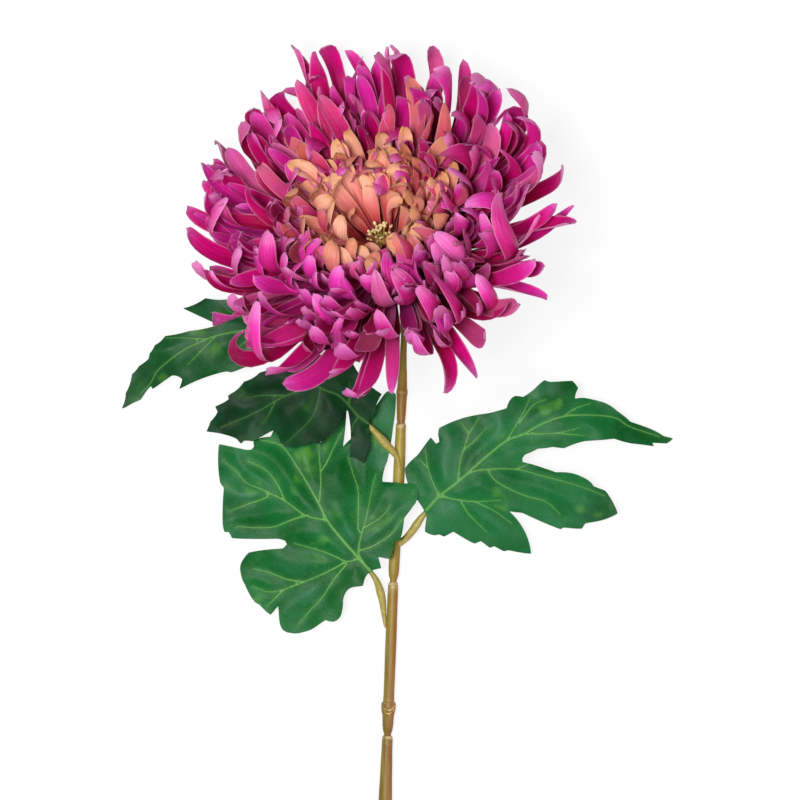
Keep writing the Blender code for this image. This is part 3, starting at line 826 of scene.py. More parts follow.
def makePetalMaterial(name):
    material, tree = newMaterial(name)
    along, across, reverse, tone, warm = tree.attributes("along", "across", "reverse", "tone", "warm")
    place = tree.place()
    look = silkLook

    # the petal's colour: darker at the root, which is painted shade in the depths of the head; lighter on
    # the back; and lighter towards the tip, which is partly a painted highlight
    dyeAndPaintedLight = tree.blend(reverse, tree.ramp(along, look["front"]), tree.ramp(along, look["back"]))
    dyeAndPaintedLight = tree.blend((tone * 1.6 - 0.9).atLeast(0) * 0.5, dyeAndPaintedLight, look["plum"])
    dyeAndPaintedLight = tree.blend((0.45 - tone).atLeast(0) * 1.3, dyeAndPaintedLight, look["wine"])
    pale = (tone * 37).sine().atLeast(0.6) - 0.6
    dyeAndPaintedLight = tree.blend(pale * (0.2 + along * 0.6), dyeAndPaintedLight, look["blush"])
    # the heart is salmon, and the rings round it amber at their tips; both grow darker towards the root as
    # painted shade in the heart's gaps
    heart = tree.blend(reverse * 0.25, tree.ramp(along, look["salmon"]), look["salmonBack"])
    heart = tree.blend(warm.between(0.55, 1.0), tree.ramp(along, look["amber"]), heart)
    share = (warm * 1.7 - 0.9 + along * 0.55).atLeast(0).atMost(1)
    dyeAndPaintedLight = tree.blend(share, dyeAndPaintedLight, heart)

    # uneven dye in soft clouds, and fibres that run lengthwise
    clouds = tree.noise(place, look["cloudScale"], 3.0)
    dyeAndPaintedLight = tree.blend((clouds - 0.5).atLeast(0) * 0.9, dyeAndPaintedLight, look["cloud"], "SOFT_LIGHT")
    run = tree.vector(across * 14 + tone * 90, along * 5, tone * 40)
    fibres = tree.noise(run, 1.6, 3.0)
    dyeAndPaintedLight = tree.blend((0.52 - fibres).atLeast(0) * 0.8, dyeAndPaintedLight, look["fibre"], "MULTIPLY")
    edge = (across.size() - 0.8).atLeast(0) * 5
    rimColour = tree.blend(warm, look["edge"], look["warmEdge"])
    dyeAndPaintedLight = tree.blend(edge * edge * 0.5, dyeAndPaintedLight, rimColour)

    # a middle rib with fine ribs beside it, over a close weave
    ribs = (across * look["ribs"]).cosine() * 0.35 + (1 - across.size() * 7).atLeast(0) * -1.2
    weave = tree.noise(place, look["weaveScale"], 1.0)
    height = ribs * along.between(0.02, 0.3) + weave * 0.6 + fibres * 0.8
    finishMaterial(tree, {
        "Base Color": dyeAndPaintedLight,
        "Roughness": look["roughness"] - reverse * 0.04 + clouds * 0.1,
        "Normal": tree.bump(height, look["relief"]),
        "Specular IOR Level": look["specular"],
        "Sheen Weight": look["sheenWeight"],
        "Sheen Roughness": 0.45,
        "Sheen Tint": look["sheen"],
        "Subsurface Weight": look["glowThrough"],
        "Subsurface Radius": look["glowReach"],
        "Subsurface Scale": 1.0,
    })
    return material


def makePetals():
    plan = planPetals()
    dressPetals(plan)
    tree = buildPetalTree()
    materials = [makePetalMaterial("innerPetalSilk"), makePetalMaterial("petalSilk")]
    for index, ring in enumerate(plan):
        numbers = {name: [petal[name] for petal in ring] for name in petalNumbers}
        seeds = pointMesh("ringSeeds", [(0, 0, 0)] * len(ring), numbers)
        rule = ringRule(index)
        outer = index >= bloom["innerRings"]
        mesh = grow("ring", seeds, tree, **{
            "roundedFrom": bloom["roundedFrom"],
            "hookFrom": silk["hookFrom"],
            "discRadius": rule["radius"],
            "discHeight": rule["height"],
            "material": materials[outer],
        })
        addPiece(f"silkRing{index + 1:02d}", mesh, headPlace, f"petal_ring_{index + 1:02d}")
    print("petals:", sum(len(ring) for ring in plan), "in", len(plan), "rings")


makePetals()


# the tuft of threads in the middle

tuft = {
    "seed": 5,
    "threads": 34,
    "threadLength": 5.0,
    "threadRadius": 0.34,
    "taper": 0.7,
    "beadRadius": 0.66,
    "beadScale": (1.0, 0.8, 1.35),
    "domeRadius": 2.4,
    "domeHeight": 2.6,
    "domeMargin": 1.08,
    "lean": 0.75,
    "jitter": ((-0.28, -0.28, 0.8), (0.28, 0.28, 1.1)),
    "threadSizes": (0.62, 1.15),
    "threadSides": 6,
    "domeSegments": 24,
    "domeRings": 12,
    "stalkColours": ((150, 112, 48), (196, 160, 84)),
    "beadColours": ((222, 196, 122), (244, 232, 178)),
    "patchScale": 900,
    "roughness": 0.5,
    "relief": 0.15,
}


def buildTuftTree():
    tree, given = newGeometryTree("tuft")
    # roots on a sunflower spiral over a low dome, leaning out with their distance from the middle
    index = tree.add("GeometryNodeInputIndex")
    out = ((index + 0.5) / tuft["threads"]) ** 0.5
    turn = index * math.radians(bloom["turnBetweenRings"])
    x, y = turn.cosine() * out, turn.sine() * out
    radius, height, length = tuft["domeRadius"], tuft["domeHeight"], tuft["threadLength"]
    spot = tree.vector(x * radius, y * radius, (1 - out * out) * height)
    roots = tree.add("GeometryNodePoints", {"Count": tuft["threads"], "Position": spot})

    cone = tree.add("GeometryNodeMeshCone", {
        "Vertices": tuft["threadSides"],
        "Radius Top": tuft["threadRadius"] * tuft["taper"],
        "Radius Bottom": tuft["threadRadius"],
        "Depth": length,
    })
    bead = tree.add("GeometryNodeMeshIcoSphere", {"Radius": tuft["beadRadius"], "Subdivisions": 2})
    inputs = {"Geometry": bead, "Translation": (0.0, 0.0, length), "Scale": tuft["beadScale"]}
    bead = tree.add("GeometryNodeTransform", inputs)
    thread = tree.join(tree.store(cone, "bead", 0.0), tree.store(bead, "bead", 1.0))

    def anyBetween(pair, seed, kind):
        inputs = {"Min": pair[0], "Max": pair[1], "Seed": seed}
        return tree.add("FunctionNodeRandomValue", inputs, data_type=kind)

    jitter = anyBetween(tuft["jitter"], tuft["seed"], "FLOAT_VECTOR")
    size = anyBetween(tuft["threadSizes"], tuft["seed"] + 1, "FLOAT")
    away = tree.vector(x * tuft["lean"], y * tuft["lean"], 0.0) + jitter
    threads = tree.add("GeometryNodeInstanceOnPoints", {
        "Points": roots,
        "Instance": thread,
        "Rotation": tree.add("FunctionNodeAlignRotationToVector", {"Vector": away}, axis="Z"),
        "Scale": tree.vector(size, size, size),
    })
    dome = tree.add("GeometryNodeMeshUVSphere", {
        "Segments": tuft["domeSegments"],
        "Rings": tuft["domeRings"],
        "Radius": radius * tuft["domeMargin"],
    })
    dome = tree.add("GeometryNodeTransform", {"Geometry": dome, "Scale": (1.0, 1.0, height / radius)})
    return endGeometryTree(tree, tree.join(threads, tree.store(dome, "bead", 0.0)), given)


def makeTuftMaterial():
    material, tree = newMaterial("tuftThread")
    place = tree.place()
    bead = tree.attributes("bead")[0]
    patches = tree.noise(place, tuft["patchScale"], 2.0)
    stalk = tree.blend(patches, *tuft["stalkColours"])
    head = tree.blend(patches, *tuft["beadColours"])
    finishMaterial(tree, {
        "Base Color": tree.blend(bead, stalk, head),
        "Roughness": tuft["roughness"] + patches * 0.2,
        "Normal": tree.bump(patches, tuft["relief"]),
    })
    return material


def makeTuft():
    height = bloom["topRingHeight"] + bloom["discThickness"] / 2 + bloom["clearance"]
    seeds = pointMesh("tuftSeeds", [(0, 0, 0)], {})
    mesh = grow("tuft", seeds, buildTuftTree(), material=makeTuftMaterial())
    place = headPlace @ Matrix.Translation((0, 0, height))
    addPiece("tuftOfThreads", mesh, place, "flower_centre")
    print("tuft:", tuft["threads"], "threads")


# stem sections, leaf stalks and calyx: moulded plastic swept along a route

stem = {
    "height": 2.9,
    "route": (
        (-1.4, -245.0), (0.5, -188.0), (2.8, -128.0), (5.0, -86.0), (6.1, -56.0), (6.9, -34.0),
    ),
    "calyxTop": -10.0,
    "calyxBottom": -15.0,
    "neckReach": 0.6,
    "neckInside": 1.5,
    "neckHandles": (12.0, 7.0),
    "neckRadius": 1.25,
    "neckEvenFrom": 212.0,
    "seams": (65.0, 66.3),
    "seamDip": 2.4,
    "seamWidths": (0.12, 0.42),
    "seamsEnd": (67.6, 68.6),
    "tintLength": 270.0,
}

# rows of (distance from the cut end, radius, how pale a rim is, which at the joints is a painted glint)
stemSections = {
    "lower": (
        (0, 0.4, 0.7), (0, 2.35, 0.5), (0.25, 2.6, 0), (1.2, 2.7, 0), (31, 2.62, 0), (44, 2.32, 0),
        (51, 2.12, 0), (54.6, 2.1, 0.2), (55.8, 2.0, 0.8), (56.3, 1.6, 0.4), (56.4, 0.8, 0),
    ),
    "middle": (
        (55.6, 0.8, 0), (55.7, 1.3, 0), (57, 1.4, 0), (58.4, 1.85, 0), (60.5, 2.14, 0), (64.2, 2.26, 0),
        (65.6, 2.64, 0), (67, 2.88, 0), (68.6, 2.86, 0.1), (69.3, 2.66, 0.3), (69.5, 2.2, 0.1),
        (73, 2.1, 0), (93, 2.18, 0), (109, 2.06, 0), (113.6, 2.04, 0.2), (115.2, 1.96, 0.8),
        (116.1, 1.6, 0.4), (116.2, 0.8, 0),
    ),
    "upper": (
        (115.4, 0.8, 0), (115.5, 1.2, 0), (117, 1.35, 0), (118.8, 1.9, 0), (121, 2.12, 0),
        (131.5, 2.14, 0), (136, 2.0, 0), (145, 2.1, 0), (160, 2.28, 0), (169, 2.15, 0), (175, 1.98, 0),
        (176.8, 2.02, 0.6), (177.8, 1.85, 0.5), (178.1, 1.5, 0), (178.2, 0.8, 0),
    ),
    "neck": (
        (177.4, 0.8, 0), (177.5, 1.4, 0), (179.6, 1.7, 0), (184, 1.9, 0), (188.4, 2.05, 0),
        (189.4, 2.2, 0), (190.1, 2.3, 0.2), (190.8, 2.15, 0), (192, 1.95, 0), (196.5, 1.75, 0),
        (201, 1.48, 0), (206.5, 1.3, 0),
    ),
}

# each stalk starts beside the stem and ends under the first of its leaf: (x, y, z, radius)
stalks = {
    "front": (
        (-0.3, -147.0, 2.7, 0.4), (-0.9, -141.5, 3.5, 1.1), (-1.7, -135.0, 4.6, 1.6),
        (-4.1, -127.6, 6.7, 0.95), (-9.6, -120.6, 7.1, 0.5),
    ),
    "right": (
        (4.2, -114.6, 2.9, 1.3), (7.6, -112.0, 4.2, 1.35), (10.6, -108.4, 5.4, 1.6),
        (14.0, -103.4, 6.4, 0.95), (19.2, -97.6, 7.3, 0.5),
    ),
    "back": (
        (5.6, -87.0, 4.7, 0.4), (4.3, -80.6, 5.1, 0.9), (1.6, -77.0, 6.8, 1.45),
        (-1.2, -74.0, 8.2, 1.75), (-4.6, -70.2, 8.9, 1.15), (-8.6, -65.8, 10.0, 0.3),
    ),
    "high": (
        (4.6, -42.0, 3.2, 0.8), (-2.0, -39.6, 4.6, 0.9), (-16.0, -35.0, 6.6, 1.0),
        (-30.0, -32.6, 7.6, 0.9), (-39.0, -31.8, 8.1, 0.6),
    ),
}

# the stem's colour up its length, as (share of tintLength, red, green, blue)
stemTints = (
    (0.0, 119, 95, 26), (0.17, 121, 95, 24), (0.215, 108, 80, 20), (0.26, 121, 95, 24),
    (0.38, 130, 106, 32), (0.43, 136, 113, 32), (0.455, 141, 125, 40), (0.5, 149, 136, 46),
    (0.58, 156, 143, 53), (0.645, 153, 136, 49), (0.66, 126, 89, 24), (0.69, 136, 100, 29),
    (0.705, 134, 99, 30), (0.725, 149, 125, 41), (0.78, 141, 123, 43), (1.0, 130, 123, 46),
)

stemLook = {
    "ruddy": (150, 88, 42),
    "ruddyFades": (96, 140),
    "green": (128, 124, 52),
    "paleStreak": (184, 156, 86),
    "darkStreak": (96, 72, 26),
    # the colour of the pale rims at the joints: a painted glint
    "worn": (228, 212, 164),
    "seam": (226, 210, 150),
    "streakScale": 160,
    "wornScale": 520,
    "grainScale": 900,
    "roughness": 0.36,
    "specular": 0.3,
    "relief": 0.12,
}

# the ramp runs along the stalk, and both of its ends close almost to a point
stalkLook = {
    "steps": 34,
    "endTaper": 0.9,
    "endSharpness": 90,
    "wornStart": 0.5,
    "wornFade": 12,
    "ramp": ((0.0, 150, 132, 60), (0.5, 160, 148, 70), (1.0, 134, 128, 54)),
    "ruddy": (168, 126, 62),
    "patch": (214, 194, 112),
    # the pale end beside the stem: wear, and a painted glint
    "worn": (224, 208, 150),
    "patchScale": 420,
    "roughness": 0.38,
    "relief": 0.12,
}

calyxLook = {
    "ramp": ((0.3, 74, 96, 40), (0.7, 126, 140, 66)),
    "patchScale": 300,
    "roughness": 0.45,
    "relief": 0.2,
}


def curveThrough(points, step):
    # points of a smooth curve through the given ones, about a step apart
    points = [Vector(point) for point in points]
    ends = [2 * points[0] - points[1], *points, 2 * points[-1] - points[-2]]
    route = []
    for before, a, b, after in zip(ends, ends[1:], ends[2:], ends[3:]):
        count = max(2, round((b - a).length / step))
        route += interpolate_bezier(a, a + (b - before) / 6, b - (after - a) / 6, b, count + 1)[:-1]
    return [*route, points[-1]]


def stemRoute():
    # the centre line from the cut end to the calyx, which it enters along the head's axis
    straight = curveThrough([(x, y, stem["height"]) for x, y in stem["route"]], 2.0)
    middle = Vector((0, 0, hubHeight))
    mouth = middle + (stem["calyxBottom"] - stem["neckReach"]) * headAxis
    start = straight[-1]
    before, after = stem["neckHandles"]
    bend = interpolate_bezier(start, start + Vector((0, before, 0)), mouth - after * headAxis, mouth, 24)
    return [*straight, *bend[1:], middle + (stem["calyxBottom"] + stem["neckInside"]) * headAxis]


def lengthsAlong(route):
    steps = [(b - a).length for a, b in zip(route, route[1:])]
    return np.concatenate([[0.0], np.cumsum(steps)])


def placesAlong(route, distances):
    reached = lengthsAlong(route)
    return np.column_stack([np.interp(distances, reached, [p[i] for p in route]) for i in range(3)])


def fineRows(rows, step=1.0):
    # profile rows with softly rounded stretches between the given ones
    fine = []
    for a, b in zip(rows, rows[1:]):
        count = max(1, round(abs(b[0] - a[0]) / step))
        for i in range(count):
            t = i / count
            ease = smooth(t) if count > 1 else t
            fine.append((mixed((a[0], b[0]), t), mixed((a[1], b[1]), ease), mixed((a[2], b[2]), ease)))
    return [*fine, rows[-1]]


def buildSweepTree():
    tree, given = newGeometryTree("sweep", sides="Int", ribs="Float", ribHeight="Float")
    route = tree.add("GeometryNodeMeshToCurve", {"Mesh": given["geometry"]})
    route = tree.add("GeometryNodeSetCurveNormal", {"Curve": route}, mode="Z_UP")
    ring = tree.add("GeometryNodeCurvePrimitiveCircle", {"Resolution": given["sides"], "Radius": 1.0})
    ring = tree.store(ring, "around", tree.add("GeometryNodeSplineParameter")["Factor"])
    swept = tree.add("GeometryNodeCurveToMesh", {
        "Curve": route,
        "Profile Curve": ring,
        "Scale": tree.field("girth"),
        "Fill Caps": True,
    })
    outward = tree.add("GeometryNodeInputNormal")
    wave = (tree.field("around") * (2 * math.pi) * given["ribs"]).cosine() * given["ribHeight"]
    swept = tree.store(swept, "flank", tree.separate(outward)["X"])
    swept = tree.add("GeometryNodeSetPosition", {"Geometry": swept, "Offset": outward * wave})
    return endGeometryTree(tree, swept, given)


def sweepPiece(name, points, rows, node, slot, place=plantPlace, **values):
    numbers = {label: [row[i] for row in rows] for i, label in enumerate(("distance", "girth", "pale"))}
    line = pointMesh(name + "Line", points, numbers, [(i, i + 1) for i in range(len(points) - 1)])
    addPiece(name, grow(name, line, sweepTree, **values), place, node, sharp=50)


def makeStemMaterial():
    material, tree = newMaterial("stemPlastic")
    place = tree.place()
    distance, pale, flank = tree.attributes("distance", "pale", "flank")
    tint = tree.ramp(distance / stem["tintLength"], stemTints)
    look = stemLook
    low = 1 - distance.between(*look["ruddyFades"])
    ruddy = flank.between(-0.1, 0.85) * (0.3 + low * 0.55)
    tint = tree.blend(ruddy, tint, look["ruddy"])
    green = (flank * -1).between(0.3, 1.0) * 0.45
    tint = tree.blend(green, tint, look["green"])
    streaks = tree.noise(place, look["streakScale"], 3.0, (4.0, 0.35, 4.0))
    tint = tree.blend((streaks - 0.45).atLeast(0) * 1.0, tint, look["paleStreak"])
    tint = tree.blend((0.45 - streaks).atLeast(0) * 1.4, tint, look["darkStreak"])
    # pale rims at the joints: a painted glint, broken up by noise
    worn = tree.noise(place, look["wornScale"], 2.0).between(0.4, 0.6)
    tint = tree.blend(pale * (0.2 + worn * 0.6), tint, look["worn"])
    # pale moulding seams that dip across the face of the knuckle
    for start in stem["seams"]:
        gap = (distance - start - flank * flank * stem["seamDip"]).size()
        seam = (1 - gap.between(*stem["seamWidths"])) * (1 - distance.between(*stem["seamsEnd"]))
        tint = tree.blend(seam * (0.15 + worn * 0.6), tint, look["seam"])
    grain = tree.noise(place, look["grainScale"], 2.0, (1.0, 0.2, 1.0))
    finishMaterial(tree, {
        "Base Color": tint,
        "Roughness": look["roughness"] + streaks * 0.16,
        "Normal": tree.bump(grain + streaks * 0.8, look["relief"]),
        "Specular IOR Level": look["specular"],
    })
    return material


def makeStalkMaterial():
    material, tree = newMaterial("stalkPlastic")
    place = tree.place()
    distance, flank, pale = tree.attributes("distance", "flank", "pale")
    look = stalkLook
    tint = tree.ramp(distance, look["ramp"])
    tint = tree.blend(flank.between(0.0, 1.0) * 0.35, tint, look["ruddy"])
    patches = tree.noise(place, look["patchScale"], 3.0)
    tint = tree.blend((patches - 0.5).atLeast(0) * 1.6, tint, look["patch"])
    # the pale end beside the stem: wear, and a painted glint
    tint = tree.blend(pale, tint, look["worn"])
    finishMaterial(tree, {
        "Base Color": tint,
        "Roughness": look["roughness"] + patches * 0.15,
        "Normal": tree.bump(patches, look["relief"]),
    })
    return material


def makeStem():
    route = stemRoute()
    look = {"sides": 28, "ribs": 5.0, "ribHeight": 0.03, "material": makeStemMaterial()}
    end = float(lengthsAlong(route)[-1])
    radius = stem["neckRadius"]
    for name, rows in stemSections.items():
        if name == "neck":
            rows = (*rows, (stem["neckEvenFrom"], radius, 0), (end - 0.1, radius, 0))
            rows = (*rows, (end, radius * 0.6, 0))
        rows = fineRows(rows)
        points = placesAlong(route, [row[0] for row in rows])
        sweepPiece("stem" + name.capitalize(), points, rows, "stem_" + name, "stem", **look)
    print("stem:", len(stemSections), "sections")


def makeStalks():
    look = {"sides": 16, "ribs": 4.0, "ribHeight": 0.05, "material": makeStalkMaterial()}
    shares = np.linspace(0, 1, stalkLook["steps"])
    ends = np.exp(np.maximum(-shares, shares - 1) * stalkLook["endSharpness"])
    for name, rows in stalks.items():
        route = curveThrough([row[:3] for row in rows], 1.0)
        radii = np.interp(shares, np.linspace(0, 1, len(rows)), [row[3] for row in rows])
        radii *= 1 - stalkLook["endTaper"] * ends
        # the end beside the stem is pale: wear, and a painted glint along it
        worn = stalkLook["wornStart"] * np.exp(-shares * stalkLook["wornFade"])
        points = placesAlong(route, shares * float(lengthsAlong(route)[-1]))
        profile = list(zip(shares, radii, worn))
        node = "leaf_stalk_" + name
        sweepPiece("stalk" + name.capitalize(), points, profile, node, "leaf_stalk", **look)
    print("stalks:", len(stalks))


def makeCalyxMaterial():
    material, tree = newMaterial("calyxPlastic")
    patches = tree.noise(tree.place(), calyxLook["patchScale"], 3.0)
    finishMaterial(tree, {
        "Base Color": tree.ramp(patches, calyxLook["ramp"]),
        "Roughness": calyxLook["roughness"] + patches * 0.2,
        "Normal": tree.bump(patches, calyxLook["relief"]),
    })
    return material


def makeCalyx():
    top, bottom = stem["calyxTop"], stem["calyxBottom"]
    rows = fineRows((
        (bottom, 1.0, 0), (bottom, 2.2, 0), (bottom + 0.9, 2.5, 0), (bottom + 2.2, 3.9, 0),
        (bottom + 3.4, 6.0, 0), (top - 0.7, 7.1, 0), (top - 0.2, 7.15, 0), (top, 6.8, 0), (top, 2.0, 0),
    ), 0.5)
    material = makeCalyxMaterial()
    # a hair off upright, which tells the rings their sideways
    points = [(0.0001 * (row[0] - bottom), 0, row[0]) for row in rows]
    look = {"sides": 48, "ribs": 12.0, "ribHeight": 0.22, "material": material}
    sweepPiece("calyxCup", points, rows, "calyx", "calyx", headPlace, **look)
    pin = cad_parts["flower_pin"]
    pin.data.materials.clear()
    pin.data.materials.append(material)
    print("calyx")


sweepTree = buildSweepTree()
makeTuft()
makeStem()
makeStalks()
makeCalyx()


# leaves: pressed silk, cut along a lobed edge and stiffened by moulded veins

leafCloth = {
    "thickness": 0.4,
    "solidThickness": 0.6,
    "edgeStep": 1.4,
    "grid": 1.35,
    "edgeSmoothing": 0.08,
    "mergeGap": 0.02,
    "veinStep": 1.4,
    "midrib": (0.62, 0.2),
    "sideVein": (0.34, 0.14),
    "forkRounds": 3,
    "forkReach": 0.3,
    "forkSide": 0.5,
    "quilting": 1.7,
    "quiltReach": 4.5,
    "ridge": 0.16,
    "ridgeReach": 1.2,
    "ripple": 0.25,
    "rippleWaves": (0.42, 0.37, 0.1, 0.7),
    "floorGap": 0.3,
}

